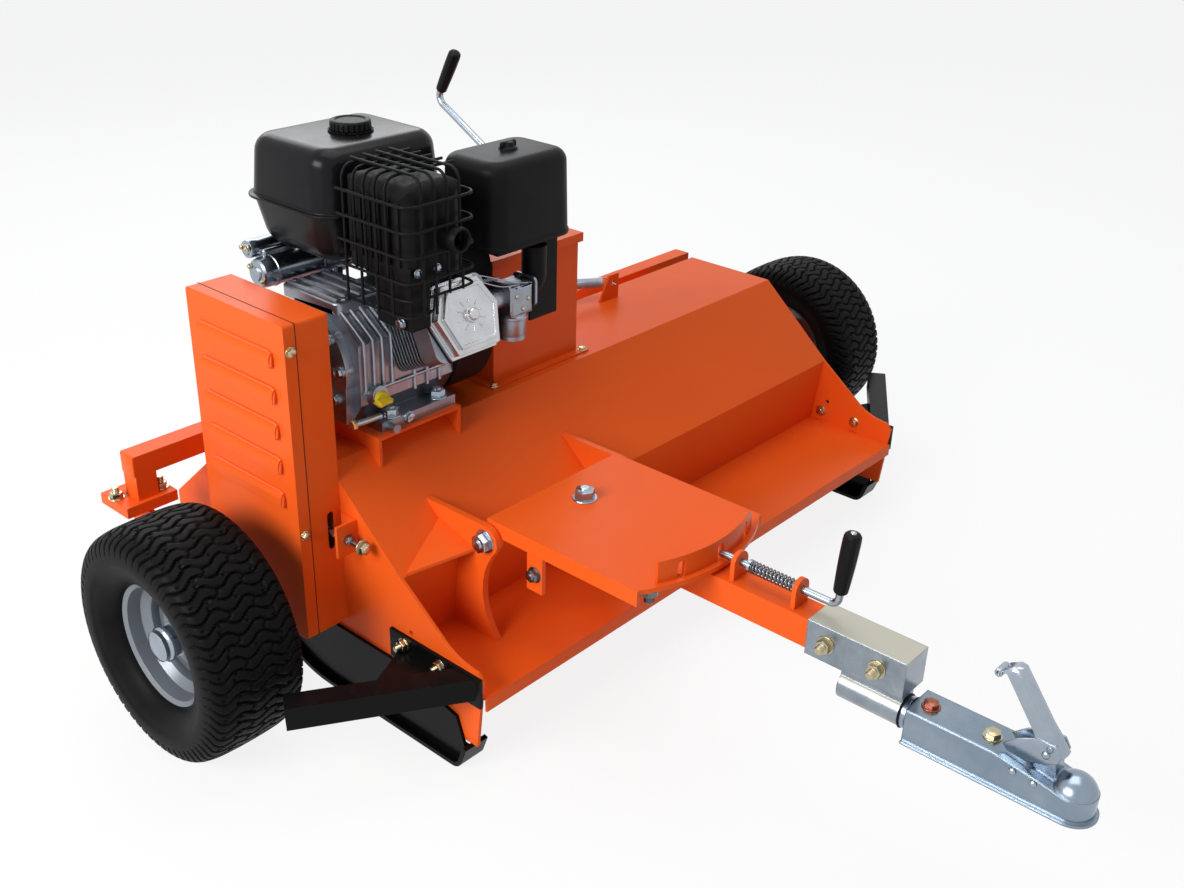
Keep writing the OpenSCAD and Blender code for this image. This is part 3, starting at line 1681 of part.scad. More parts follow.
// A box with rounded upright edges and a rounded top, as three crossed outlines
module soft_box(a, w, d, h, r, top) {
    translate(a)
    intersection() {
        linear_extrude(h) rounded(w, d, r);
        translate([0, d, 0]) rotate([90, 0, 0]) linear_extrude(d) round_top(w, h, top);
        rotate([90, 0, 90]) linear_extrude(w) round_top(d, h, top);
    }
}
module round_top(w, h, r) {
    square([w, h - r]);
    translate([r, 0]) square([w - 2 * r, h]);
    for (x = [r, w - r]) translate([x, h - r]) circle(r = r);
}

module muffler() {
    a = [muffler_x0, muffler_front_y, muffler_z0];
    color("black") {
        difference() {
            union() {
                soft_box(a, muffler_w, muffler_d, muffler_h, muffler_r, muffler_r);
                for (i = [1 : muffler_ribs])
                    translate([a[0] - muffler_rib_h, a[1] + i * muffler_d / (muffler_ribs + 1), a[2] + muffler_r])
                    box(
                        [0, -muffler_rib_w / 2, 0],
                        [muffler_r, muffler_rib_w / 2, muffler_h - 2 * muffler_r]
                    );
                rod_y(
                    a[1] - outlet_len, a[1] + outlet_len, a[0] + outlet_x, a[2] + outlet_z,
                    outlet_r + shield_t
                );
            }
            rod_y(a[1] - 2 * outlet_len, a[1] + outlet_len * 2, a[0] + outlet_x, a[2] + outlet_z, outlet_r);
        }
        box(
            [a[0] + shield_t, a[1] + shield_t, a[2] - shield_h],
            [a[0] + 2 * shield_t, a[1] + muffler_d * 0.55, a[2] + muffler_r]
        );
        box(
            [a[0] + shield_t, a[1] + shield_t, a[2] - shield_h],
            [a[0] + muffler_w * 0.36, a[1] + 2 * shield_t, a[2] + muffler_r]
        );
        // Exhaust pipe cut to sit on the head
        difference() {
            rod_z(
                a[2] - shield_h * 0.7, a[2] + shield_t,
                a[0] + muffler_w * 0.66, a[1] + muffler_d * 0.45, outlet_r * 1.2
            );
            along_cylinder(head_start - 2 * fin_pitch)
            linear_extrude(head_h + 2 * fin_pitch)
            translate([-head_w / 2, -head_d / 2])
            square([head_w, head_d]);
        }
    }
}
// A bent guard wire at one level: along the side, round the corner, across the front and back
guard_x0 = muffler_x0 - wire_gap;
guard_x1 = muffler_x0 + muffler_w + wire_gap;
cage_y0 = muffler_front_y - wire_gap;
cage_y1 = muffler_front_y + muffler_d;
cage_z0 = muffler_z0 + wire_low;
cage_z1 = muffler_z0 + muffler_h + wire_gap;
wire_in = 2 * wire_r - wire_touch;
module quarter(r) rotate_extrude(angle = 90) translate([r, 0]) circle(r = wire_r + bend_swell);
module guard_hoop(z) {
    r = wire_bend_r;
    o = bend_over;
    rod_y(cage_y0 + r - o, cage_y1, guard_x0, z, wire_r);
    translate([guard_x0 + r, cage_y0 + r, z]) rotate(180) quarter(r);
    rod_x(guard_x0 + r - o, guard_x1 - r + o, cage_y0, z, wire_r);
    translate([guard_x1 - r, cage_y0 + r, z]) rotate(270) quarter(r);
    rod_y(cage_y0 + r - o, cage_y0 + 2 * r, guard_x1, z, wire_r);
}
// A wire up the side and over the top
module side_wire(y) {
    r = wire_bend_r;
    x = guard_x0 + wire_in;
    rod_z(cage_z0, cage_z1 - r + bend_over, x, y, wire_r);
    translate([x + r, y, cage_z1 - r]) rotate([90, 0, 0]) rotate(90) quarter(r);
    rod_x(x + r - bend_over, guard_x1, y, cage_z1, wire_r);
}
// A wire up the front and over the top
module front_wire(x) {
    r = wire_bend_r;
    y = cage_y0 + wire_in;
    z = cage_z1 + wire_in;
    rod_z(cage_z0, z - r + bend_over, x, y, wire_r);
    translate([x, y + r, z - r]) rotate([90, 0, 90]) rotate(90) quarter(r);
    rod_y(y + r - bend_over, cage_y1, x, z, wire_r);
}
function spread(a, b, i, n) = a + (b - a) * (i + 0.5) / n;
module muffler_guard() {
    step = (muffler_h - muffler_r - wire_low) / (wire_levels - 1);
    clip_y = muffler_front_y + (muffler_ribs - 0.5) * muffler_d / (muffler_ribs + 1);
    color("black") {
        for (i = [0 : wire_levels - 1]) guard_hoop(cage_z0 + i * step);
        for (i = [0 : wire_side_n - 1]) side_wire(spread(cage_y0 + wire_bend_r * 2, cage_y1, i, wire_side_n));
        for (i = [0 : wire_front_n - 1])
            front_wire(spread(guard_x0 + wire_bend_r, guard_x1 - wire_bend_r, i, wire_front_n));
        // Clips that hold the hoops to the muffler
        for (i = [1, wire_levels - 2])
            box(
                [guard_x0, clip_y - clip_w / 2, cage_z0 + i * step - wire_r / 2],
                [muffler_x0, clip_y + clip_w / 2, cage_z0 + i * step + wire_r / 2]
            );
    }
}

module fuel_tank() {
    w = tank_w;
    d = tank_d;
    zf = tank_z0 + tank_low_h;
    side_low = tank_corner_r;
    color("black")
    translate([tank_x0, tank_front_y, 0]) {
        intersection() {
            along_z(tank_z0, zf + tank_high_h) rounded(w, d, tank_corner_r);
            along_y(0, d)
            polygon([
                [side_low * 0.4, tank_z0],
                [w - side_low * 0.4, tank_z0],
                [w - side_low * 0.2, tank_z0 + tank_low_h * 0.3],
                [w, zf],
                [w, zf + tank_high_h * 0.5],
                [w - side_low * 0.5, zf + tank_high_h * 0.85],
                [w - side_low * 1.2, zf + tank_high_h],
                [side_low * 1.2, zf + tank_high_h],
                [side_low * 0.5, zf + tank_high_h * 0.85],
                [0, zf + tank_high_h * 0.5],
                [0, zf],
                [side_low * 0.2, tank_z0 + tank_low_h * 0.3]
            ]);
            along_x(0, w)
            polygon([
                [side_low * 0.4, tank_z0],
                [d - side_low * 1.8, tank_z0],
                [d - side_low * 0.6, tank_z0 + tank_low_h * 0.3],
                [d, zf],
                [d, zf + tank_high_h * 0.5],
                [d - side_low * 0.4, zf + tank_high_h * 0.85],
                [d - side_low, zf + tank_high_h],
                [side_low, zf + tank_high_h],
                [side_low * 0.4, zf + tank_high_h * 0.85],
                [0, zf + tank_high_h * 0.5],
                [0, zf]
            ]);
        }
        along_z(zf - tank_flange_t / 2, zf + tank_flange_t / 2)
        translate([-tank_flange_w, -tank_flange_w])
        rounded(w + 2 * tank_flange_w, d + 2 * tank_flange_w, tank_corner_r);
    }
}
module fuel_cap() {
    z = tank_z0 + tank_low_h + tank_high_h;
    color("black")
    translate([tank_x0 + tank_w * 0.52, tank_front_y + tank_d * 0.45, z])
    rotate_extrude()
    polygon([
        [0, 0],
        [fuel_cap_r * 0.9, 0],
        [fuel_cap_r, fuel_cap_h * 0.3],
        [fuel_cap_r, fuel_cap_h * 0.8],
        [fuel_cap_r * 0.9, fuel_cap_h],
        [0, fuel_cap_h]
    ]);
}

module air_cleaner_cover() {
    color("black") {
        soft_box(
            [cleaner_x0, cleaner_y0, cleaner_z0], cleaner_w, cleaner_d, cleaner_h, cleaner_r,
            cleaner_top_r
        );
        rod_z(
            cleaner_z0 + cleaner_h, cleaner_z0 + cleaner_h + knob_h,
            cleaner_x0 + cleaner_w * 0.52, cleaner_y0 + cleaner_d * 0.5, knob_r
        );
    }
}
module air_cleaner_base() {
    x1 = cleaner_x0 + cleaner_w;
    color("black") {
        box(
            [cleaner_x0 + cleaner_r / 2, cleaner_y0 + cleaner_r / 2, cleaner_z0 - base_h],
            [x1 - cleaner_r / 2, cleaner_y0 + cleaner_d - cleaner_r / 2, cleaner_z0]
        );
        box(
            [x1 - cleaner_r / 2 - bracket_w, cleaner_y0 + cleaner_r / 2, cleaner_z0 - base_h - bracket_h],
            [x1 - cleaner_r / 2, cleaner_y0 + cleaner_r / 2 + plate_t, cleaner_z0 - base_h]
        );
        // Intake elbow between the carburettor and the plate
        translate([carb_x + bowl_r, carb_y, carb_z + carb_r * 0.5]) {
            rod_x(0, elbow_in + bend_over, 0, 0, carb_r);
            translate([elbow_in, 0, elbow_r])
            rotate([90, 0, 0])
            rotate(270)
            rotate_extrude(angle = 90)
            translate([elbow_r, 0])
            circle(r = carb_r + bend_swell);
        }
        rod_z(
            carb_z + carb_r * 0.5 + elbow_r - bend_over, cleaner_z0 - base_h,
            carb_x + bowl_r + elbow_in + elbow_r, carb_y, carb_r
        );
        // Stay from the plate to the fan shroud
        box(
            [blower_x0 + blower_t * 0.4, cleaner_y0 + cleaner_d - cleaner_r, cleaner_z0 - base_h - plate_t],
            [x1 - cleaner_r, cleaner_y0 + cleaner_d, cleaner_z0 - base_h]
        );
    }
}
module carburettor() {
    x0 = pto_x + cyl_off + head_w / 2;
    color("silver") {
        rod_x(x0, carb_x + bowl_r, carb_y, carb_z + carb_r * 0.5, carb_r * 0.8);
        box(
            [carb_x - bowl_r, carb_y - carb_r, carb_z - carb_r],
            [carb_x + bowl_r, carb_y + carb_r, carb_z + carb_r * 1.4]
        );
        rod_z(carb_z - carb_r - bowl_h, carb_z - carb_r, carb_x, carb_y, bowl_r * 0.9);
        hex_z(carb_z - carb_r - bowl_h * 1.15, carb_z - carb_r - bowl_h, carb_x, carb_y, bowl_r * 0.3);
    }
}
module blower_housing() {
    x1 = blower_x0 + blower_t;
    color("black")
    along_x(blower_x0, x1) {
        translate([shaft_y, shaft_z]) circle(r = blower_r);
        polygon([
            [shaft_y - blower_r * 0.96, shaft_z - blower_r * 0.2],
            [shaft_y + blower_r * 0.96, shaft_z],
            [shaft_y + blower_r * 0.98, tank_z0],
            [cleaner_y0 + cleaner_d + base_h / 2, tank_z0],
            [cleaner_y0 + cleaner_d + base_h / 2, cleaner_z0 - base_h - plate_t],
            [shroud_front_y, cleaner_z0 - base_h - plate_t],
            [shroud_front_y - base_h, carb_z + carb_r * 2]
        ]);
    }
}
module recoil_starter() {
    x0 = blower_x0 + blower_t;
    color("black")
    difference() {
        union() {
            about_x(x0, shaft_y, shaft_z)
            rotate_extrude()
            polygon([
                [0, 0], [recoil_r, 0], [recoil_r, recoil_t * 0.5],
                [recoil_r * 0.86, recoil_t], [0, recoil_t]
            ]);
            box(
                [x0, shaft_y - recoil_r * 1.02, shaft_z + recoil_r * 0.1],
                [x0 + recoil_t * 0.8, shaft_y - recoil_r * 0.5, shaft_z + recoil_r * 0.4]
            );
        }
        for (a = [0 : 30 : 330])
            translate([0, shaft_y, shaft_z])
            rotate([a, 0, 0])
            box(
                [x0 + recoil_t * 0.6, recoil_r * 0.4, -recoil_rib / 2],
                [x0 + recoil_t * 2, recoil_r * 0.75, recoil_rib / 2]
            );
    }
}
module starter_motor() {
    color("silver") {
        rod_x(starter_x0, blower_x0, starter_y, starter_z, starter_r);
        rod_x(
            starter_x0, starter_x0 + solenoid_len,
            starter_y + solenoid_dy, starter_z + solenoid_dz, solenoid_r
        );
        box(
            [starter_x0 + solenoid_len * 0.2, starter_y, starter_z],
            [starter_x0 + solenoid_len * 0.8, starter_y + solenoid_dy, starter_z + solenoid_dz]
        );
        // Stay down to the crankcase
        along_x(starter_x0 + solenoid_len * 1.5, starter_x0 + solenoid_len * 1.5 + starter_stay_t)
        polygon([
            [shaft_y + shaft_h / 2, shaft_z + shaft_h * 0.9],
            [shaft_y + shaft_h, shaft_z + shaft_h / 3],
            [starter_y + starter_r * 0.7, starter_z],
            [starter_y - starter_r * 0.7, starter_z]
        ]);
        hex_x(
            starter_x0 - solenoid_r / 2, starter_x0, starter_y - starter_r / 2,
            starter_z - starter_r / 3, solenoid_r / 2
        );
    }
}
module oil_dipstick() {
    color("yellow")
    translate([dip_x, shaft_y - shaft_h - dip_r * 0.12, dip_z])
    rotate([100, 0, 0]) {
        cylinder(r = dip_r * 0.6, h = dip_h / 2);
        translate([0, 0, dip_h / 2]) cylinder(r = dip_r, h = dip_h / 2);
        translate([-dip_r * 0.9, -dip_r / 4, dip_h]) cube([dip_r * 1.8, dip_r / 2, dip_h / 2]);
    }
}

// Hitch

plate_x0 = lug_x_right + plate_side_gap;
plate_x1 = lug_x_left - plate_side_gap;
module hinge_bolts() {
    color("silver")
    for (s = [-1, 1]) {
        face = s < 0 ? lug_x_right - lug_t : lug_x_left + lug_t;
        end = s < 0 ? plate_x0 + plate_thick * 1.5 : plate_x1 - plate_thick * 1.5;
        rod_x(min(face, end), max(face, end), lug_boss_y, lug_boss_z, hinge_bolt_r);
        head = face + s * hinge_bolt_head_h;
        hex_x(min(face, head), max(face, head), lug_boss_y, lug_boss_z, hinge_bolt_head_r);
    }
}
module arc_flange() {
    translate([tongue_x, pivot_y, 0])
    rotate(270 - arc_half_turn)
    rotate_extrude(angle = 2 * arc_half_turn)
    translate([arc_r - arc_t, tongue_top_z + arc_low_gap])
    square([arc_t, arc_high_z - tongue_top_z - arc_low_gap]);
}
// What rounds off one top corner of the arc flange, seen along the radius at its end
module arc_corner(side) {
    r = arc_corner_r;
    translate([tongue_x, pivot_y, arc_high_z - r])
    rotate(side * arc_half_turn)
    translate([-side * r, -arc_r - cut_over, 0])
    rotate([-90, 0, 0])
    linear_extrude(arc_t + 3 * cut_over)
    difference() {
        translate([side > 0 ? 0 : -2 * r, -2 * r]) square(2 * r);
        circle(r = r);
    }
}
module hitch_plate() {
    z0 = plate_top_z - plate_thick;
    color("orangered")
    difference() {
        union() {
            along_z(z0, plate_top_z)
            intersection() {
                translate([tongue_x, pivot_y]) circle(r = arc_r + plate_nose);
                polygon([
                    [plate_x0, plate_rear_y],
                    [plate_x0, plate_front_y + plate_corner],
                    [plate_x0 + plate_corner, plate_front_y],
                    [plate_x0 + plate_corner, pivot_y - 2 * arc_r],
                    [plate_x1 - plate_corner, pivot_y - 2 * arc_r],
                    [plate_x1 - plate_corner, plate_front_y],
                    [plate_x1, plate_front_y + plate_corner],
                    [plate_x1, plate_rear_y]
                ]);
            }
            for (x = [plate_x0, plate_x1 - plate_thick])
                along_x(x, x + plate_thick) {
                    polygon([
                        [plate_rear_y, plate_top_z],
                        [plate_front_y + plate_corner, plate_top_z],
                        [plate_front_y + plate_corner, plate_top_z - plate_flange_h],
                        [plate_rear_y, plate_top_z - plate_flange_h]
                    ]);
                    translate([lug_boss_y, lug_boss_z]) circle(r = lug_boss_r * 0.8);
                }
            arc_flange();
        }
        for (k = [-1, 0, 1])
            translate([tongue_x, pivot_y, pin_z])
            rotate(k * slot_turn)
            translate([0, -arc_r + arc_t + cut_over, 0])
            rotate([90, 0, 0])
            linear_extrude(arc_t + 2 * cut_over)
            slot(slot_w, slot_len);
        for (side = [-1, 1]) arc_corner(side);
        rod_x(plate_x0 - cut_over, plate_x1 + cut_over, lug_boss_y, lug_boss_z, hinge_bolt_r + run_gap);
    }
    // Pivot bolt with its head, spacer and nut
    color("silver") {
        hex_z(plate_top_z, plate_top_z + pivot_head_h, tongue_x, pivot_y, pivot_head_r);
        rod_z(
            tongue_top_z - tongue_tube - pivot_head_h, z0,
            tongue_x, pivot_y, pivot_bolt_r
        );
        hex_z(
            tongue_top_z - tongue_tube - pivot_head_h - flat_gap, tongue_top_z - tongue_tube - flat_gap,
            tongue_x, pivot_y, pivot_head_r
        );
    }
    // Stop ears under the plate, each with its bolt
    for (side = [-1, 1]) {
        x = side < 0 ? plate_x0 + plate_thick : plate_x1 - plate_thick - stop_t;
        y = plate_rear_y - stop_out;
        face = side < 0 ? x : x + stop_t;
        color("orangered") box([x, y - stop_d, z0 - stop_h], [x + stop_t, y, z0]);
        color("dimgray")
        hex_x(min(face, face + side * stop_bolt_h), max(face, face + side * stop_bolt_h),
            y - stop_d / 2, z0 - stop_h * 0.65, stop_bolt_r);
    }
}

module tongue_beam() {
    color("orangered") {
        difference() {
            union() {
                translate([tongue_x, 0, tongue_z]) along_y(
                    tongue_front_y, tongue_rear_y
                ) tube_section(tongue_tube, tongue_wall);
                rod_z(
                    tongue_top_z - tongue_tube, tongue_top_z + swing_gap - flat_gap, tongue_x,
                    pivot_y, pivot_head_r * 1.3
                );
            }
            rod_z(
                tongue_top_z - tongue_tube - cut_over, plate_top_z,
                tongue_x, pivot_y, pivot_bolt_r + run_gap
            );
        }
        for (y = pin_ears)
            difference() {
                along_y(y - pin_ear_t / 2, y + pin_ear_t / 2) {
                    translate([tongue_x, pin_z]) circle(r = pin_ear_w / 2);
                    translate([tongue_x - pin_ear_w / 2, tongue_top_z]) square([pin_ear_w, pin_z - tongue_top_z]);
                }
                rod_y(y - pin_ear_t, y + pin_ear_t, tongue_x, pin_z, lock_pin_r + run_gap);
            }
    }
}
pin_tip_y = pivot_y - arc_r - pin_tip_gap;
pin_collar_y = pin_ears[0] - pin_ear_t / 2 - 3 * pin_collar_t;
// The pin turns up into its handle, which leans forward
pin_heel = [pin_bend_y + pin_bend_r, pin_z + pin_bend_r];
pin_neck = pin_heel + pin_bend_r * dir(180 + handle_lean);
module lock_pin() {
    color("silver") {
        rod_y(pin_bend_y + pin_bend_r - bend_over, pin_tip_y, tongue_x, pin_z, lock_pin_r);
        rod_y(pin_collar_y - pin_collar_t, pin_collar_y, tongue_x, pin_z, pin_collar_r);
        translate([tongue_x, 0, 0])
        bend_x(pin_heel[0], pin_heel[1], pin_bend_r, 180 + handle_lean, 90 - handle_lean, lock_pin_r);
        translate([tongue_x, pin_neck[0], pin_neck[1]])
        rotate([handle_lean, 0, 0])
        rod_z(-bend_over, pin_handle_len, 0, 0, lock_pin_r);
    }
    color("black")
    translate([tongue_x, pin_neck[0], pin_neck[1]])
    rotate([handle_lean, 0, 0])
    rotate_extrude()
    polygon([
        [0, handle_grip_r],
        [handle_grip_r * 0.8, handle_grip_r],
        [handle_grip_r, handle_grip_len * 0.2],
        [handle_grip_r * 0.86, handle_grip_len * 0.6],
        [handle_grip_r, handle_grip_len * 0.92],
        [handle_grip_r * 0.8, handle_grip_len],
        [0, handle_grip_len]
    ]);
}
lock_span = (pin_collar_y - pin_collar_t) - (pin_ears[1] + pin_ear_t / 2);
lock_len = lock_span - 2 * (lock_wire + loose_gap);
lock_body = coil(lock_coil_r, lock_len / lock_turns, lock_turns);
module lock_spring() {
    color("silver")
    translate([tongue_x, pin_ears[1] + pin_ear_t / 2 + lock_wire + loose_gap, pin_z])
    rotate([-90, 0, 0])
    tube_on(lock_body, lock_wire, [0, 0, 1]);
}
echo(lock_spring_gap = least_gap(lock_body, lock_wire));

sleeve_size = tongue_tube + 2 * sleeve_gap + 2 * sleeve_wall;
module coupler_sleeve() {
    color("silver") {
        difference() {
            union() {
                translate([tongue_x, 0, tongue_z]) along_y(
                    sleeve_front_y, sleeve_rear_y
                ) tube_section(sleeve_size, sleeve_wall);
                translate([tongue_x, 0, tongue_z])
                along_y(sleeve_front_y, sleeve_front_y + sleeve_wall)
                square(sleeve_size, center = true);
                rod_y(swivel_front_y, swivel_rear_y, tongue_x, swivel_z, swivel_r);
                box(
                    [tongue_x - saddle_w / 2, swivel_front_y, swivel_z],
                    [tongue_x + saddle_w / 2, swivel_rear_y, tongue_z - sleeve_size / 2 + sleeve_wall / 2]
                );
            }
            rod_y(swivel_front_y - cut_over, swivel_rear_y - ring_t, tongue_x, swivel_z, shank_r + run_gap);
        }
        for (y = sleeve_bolt_ys, s = [-1, 1])
            hex_x(
                tongue_x + (s < 0 ? -sleeve_size / 2 - sleeve_bolt_head : sleeve_size / 2),
                tongue_x + (s < 0 ? -sleeve_size / 2 : sleeve_size / 2 + sleeve_bolt_head),
                y, tongue_z, sleeve_bolt_r * 1.5
            );
    }
}
// The coupler's plan: straight at the rear, drawn in towards the ball
module coupler_plan(grow) {
    polygon([
        [tongue_x - body_w / 2 - grow, body_rear_y],
        [tongue_x + body_w / 2 + grow, body_rear_y],
        [tongue_x + body_w / 2 + grow, body_front_y],
        [tongue_x + ball_r + dome_wall + grow, ball_y],
        [tongue_x - ball_r - dome_wall - grow, ball_y],
        [tongue_x - body_w / 2 - grow, body_front_y]
    ]);
    translate([tongue_x, ball_y]) circle(r = ball_r + dome_wall + grow);
}
module coupler_body() {
    top = swivel_z + body_top;
    low = swivel_z - body_low;
    color("silver") {
        rod_y(body_rear_y - body_t, swivel_rear_y - 2 * ring_t, tongue_x, swivel_z, shank_r);
        rod_y(body_rear_y + ring_gap, swivel_front_y - ring_gap, tongue_x, swivel_z, swivel_r);
        difference() {
            union() {
                intersection() {
                    along_x(tongue_x - body_w, tongue_x + body_w)
                    polygon([
                        [body_rear_y, low],
                        [body_rear_y, top],
                        [body_front_y, top],
                        [ball_y + ball_r * 1.6, top - body_top * 0.4],
                        [ball_y, swivel_z + ball_r * 0.3],
                        [ball_y - ball_r * 2, swivel_z + ball_r * 0.3],
                        [ball_y - ball_r * 2, low]
                    ]);
                    along_z(low - cut_over, top + cut_over) coupler_plan(0);
                }
                translate([tongue_x, ball_y, swivel_z]) sphere(r = ball_r + dome_wall);
                along_z(low, low + body_t) coupler_plan(body_lip);
                // Ears that carry the lever's pin
                along_x(
                    tongue_x - lever_w / 2 + lever_plate + flat_gap,
                    tongue_x + lever_w / 2 - lever_plate - flat_gap
                )
                polygon([
                    [lever_y + lever_w * 0.55, top - body_t],
                    [lever_y + lever_w * 0.2, lever_z + lever_pin_r * 1.6],
                    [lever_y - lever_w * 0.2, lever_z + lever_pin_r * 1.6],
                    [lever_y - lever_w * 0.45, swivel_z]
                ]);
                rod_x(
                    tongue_x - lever_w / 2 - flat_gap, tongue_x + lever_w / 2 + flat_gap, lever_y,
                    lever_z, lever_pin_r
                );
            }
            translate([tongue_x, ball_y, swivel_z]) sphere(r = ball_r + loose_gap / 2);
            rod_z(low - ball_r, swivel_z, tongue_x, ball_y, ball_r + loose_gap / 2);
            along_x(tongue_x - body_w / 2 + body_t, tongue_x + body_w / 2 - body_t)
            polygon([
                [body_rear_y - body_t * 3, low - cut_over],
                [body_rear_y - body_t * 3, top - body_t],
                [body_front_y, top - body_t],
                [body_front_y - body_t * 3, low - cut_over]
            ]);
        }
        for (y = top_bolt_ys) hex_z(top, top + top_bolt_h, tongue_x, y, top_bolt_r);
    }
}
// The lever: two cheeks with a web along the back of the arm and a hooked tip
lever_foot = [
    [lever_w * 1.58, -lever_w * 0.8],
    [lever_w * 0.3, -lever_w * 0.5],
    [-lever_w * 0.5, -lever_w * 0.2],
    [-lever_w * 0.6, lever_w * 0.2]
];
lever_back = [lever_foot[3], lever_foot[3] + lever_len * dir(lever_turn)];
lever_front = [
    lever_back[1] + lever_hook * dir(lever_turn - 80),
    lever_back[1] + lever_hook * dir(lever_turn - 100) * 1.1 - lever_plate * dir(lever_turn),
    lever_back[1] - lever_hook * dir(lever_turn) + lever_w * 0.4 * dir(lever_turn - 90),
    lever_back[0] + lever_hook * dir(lever_turn) * 1.2 + lever_w * 0.75 * dir(lever_turn - 90),
    [lever_w * 1.1, -lever_w * 0.2]
];
module coupler_lever() {
    w = lever_w / 2;
    color("silver")
    translate([tongue_x, lever_y, lever_z])
    difference() {
        union() {
            for (x = [-w, w - lever_plate])
                along_x(x, x + lever_plate)
                polygon(concat(lever_foot, lever_back, lever_front));
            along_x(-w, w)
            polygon(strip([
                lever_back[0] + lever_hook * dir(lever_turn),
                lever_back[1],
                lever_front[0]
            ], -lever_plate));
        }
        rod_x(-lever_w, lever_w, 0, 0, lever_pin_r + run_gap);
    }
}

translate([0, origin_y, 0]) {
    deck_shell();
    side_plate_right();
    side_plate_left();
    hitch_lugs();
    engine_bed();
    battery_box();
    battery_box_lid();
    belt_guard_back();
    belt_guard_cover();
    tension_tab();
    skids();
    deflectors();
    deck_lugs();
    rear_spring();
    rotor_bearings();
    drive_belts();
    crankcase();
    crankcase_cover();
    cylinder_block();
    valve_cover();
    muffler();
    muffler_guard();
    fuel_tank();
    fuel_cap();
    air_cleaner_cover();
    air_cleaner_base();
    carburettor();
    blower_housing();
    recoil_starter();
    starter_motor();
    oil_dipstick();
    foot_bolts();
    rotor_drum();
    rotor_pulley();
    flail_row_1();
    flail_row_2();
    flail_row_3();
    clutch_pulley();
    tension_stud();
    idler_pulley();
    wheel_frame();
    wheel_arms();
    tyre_right();
    tyre_left();
    rim_right();
    rim_left();
    hub_right();
    hub_left();
    crank_screw();
    crank_grip();
    lift_nut();
    hitch_plate();
    hinge_bolts();
    tongue_beam();
    lock_pin();
    lock_spring();
    coupler_sleeve();
    coupler_body();
    coupler_lever();
}
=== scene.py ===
# %% [markdown]
# # Dressing a towed flail mower
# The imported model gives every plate, pulley and casting its place and its joints. This lesson keeps
# those solids as the frame, gives each one a finish, and models the small work that makes a machine
# look real: bolts, washers, treads, ribs, louvres, wires, coils and grips.
# All lengths are metres, +Z is up, the machine is towed towards -Y, and its belt guard is on the -X side.

import json
import math

import bmesh
import bpy
import numpy as np
from mathutils import Matrix, Vector


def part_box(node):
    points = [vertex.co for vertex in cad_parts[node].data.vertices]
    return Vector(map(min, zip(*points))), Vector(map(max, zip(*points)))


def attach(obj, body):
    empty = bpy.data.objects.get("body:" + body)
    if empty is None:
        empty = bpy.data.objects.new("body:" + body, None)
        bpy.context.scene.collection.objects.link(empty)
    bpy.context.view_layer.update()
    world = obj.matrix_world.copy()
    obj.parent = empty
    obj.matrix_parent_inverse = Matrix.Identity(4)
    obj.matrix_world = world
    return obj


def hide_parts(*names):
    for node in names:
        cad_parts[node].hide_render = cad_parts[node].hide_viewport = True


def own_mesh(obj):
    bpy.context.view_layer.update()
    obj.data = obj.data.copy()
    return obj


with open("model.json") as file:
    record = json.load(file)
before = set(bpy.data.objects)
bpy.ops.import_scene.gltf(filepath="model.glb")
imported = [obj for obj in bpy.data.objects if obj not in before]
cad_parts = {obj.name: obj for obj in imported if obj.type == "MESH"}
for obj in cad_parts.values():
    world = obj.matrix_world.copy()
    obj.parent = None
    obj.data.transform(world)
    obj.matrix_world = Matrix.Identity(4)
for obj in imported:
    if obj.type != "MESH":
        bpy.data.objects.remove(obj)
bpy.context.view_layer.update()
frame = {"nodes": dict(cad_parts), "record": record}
bpy.ops.object.select_all(action="DESELECT")
scene = bpy.context.scene
scene.view_settings.view_transform = "Standard"

# %% [markdown]
# ## Camera
# A camera is set first, so that every later choice can be judged from one place. The picture that
# this machine is matched to was taken from its front right, at about shoulder height, with a
# slight roll. The three columns of the camera's matrix are its right, its up and its back.

# %% Camera
SENSOR_MM = 36.0
FOCAL_PIXELS, FRAME_PIXELS = 1336.8, 1184.0
ROLL_DEGREES = 1.6
eye = Vector((-1.8114, -1.2210, 1.4726))
sight = Vector((0.6755, 0.5827, -0.4518)).normalized()
roll = math.radians(ROLL_DEGREES)
level_right = sight.cross(Vector((0, 0, 1))).normalized()
level_up = level_right.cross(sight)
right = level_right * math.cos(roll) + level_up * math.sin(roll)
up = level_up * math.cos(roll) - level_right * math.sin(roll)
bpy.ops.object.camera_add(location=eye)
camera = bpy.context.object
camera.name = "camera"
turn = Matrix((right, up, -sight)).transposed().to_4x4()
camera.matrix_world = Matrix.Translation(eye) @ turn
camera.data.sensor_width = SENSOR_MM
camera.data.lens = SENSOR_MM * FOCAL_PIXELS / FRAME_PIXELS
scene.camera = camera
print("lens", round(camera.data.lens, 2))

# %% [markdown]
# ## Studio
# A pale floor takes the shadow. The world is soft grey light for the machine, and plain white where
# the camera, a mirror-like metal or glass looks straight at it. Three large lamps give the plates a
# bright side and a dark side, as tall windows do in a workshop.

# %% Floor
FLOOR_RADIUS = 14.0
FLOOR_DROP = 0.0008
FLOOR_WHITE_SHARE = 0.86
bpy.ops.mesh.primitive_circle_add(
    vertices=64, radius=FLOOR_RADIUS, fill_type="NGON", location=(0, 0, -FLOOR_DROP)
)
floor = bpy.context.object
floor.name = "studio_floor"


def fill(node, values):
    for socket, value in values.items():
        node.inputs[socket].default_value = value


def join(tree, out, into):
    tree.links.new(out, into)


def combine(tree, kind, first, second):
    node = tree.nodes.new("ShaderNodeMath")
    node.operation = kind
    for socket, value in zip(node.inputs, (first, second)):
        if isinstance(value, (int, float)):
            socket.default_value = value
        else:
            join(tree, value, socket)
    return node.outputs[0]


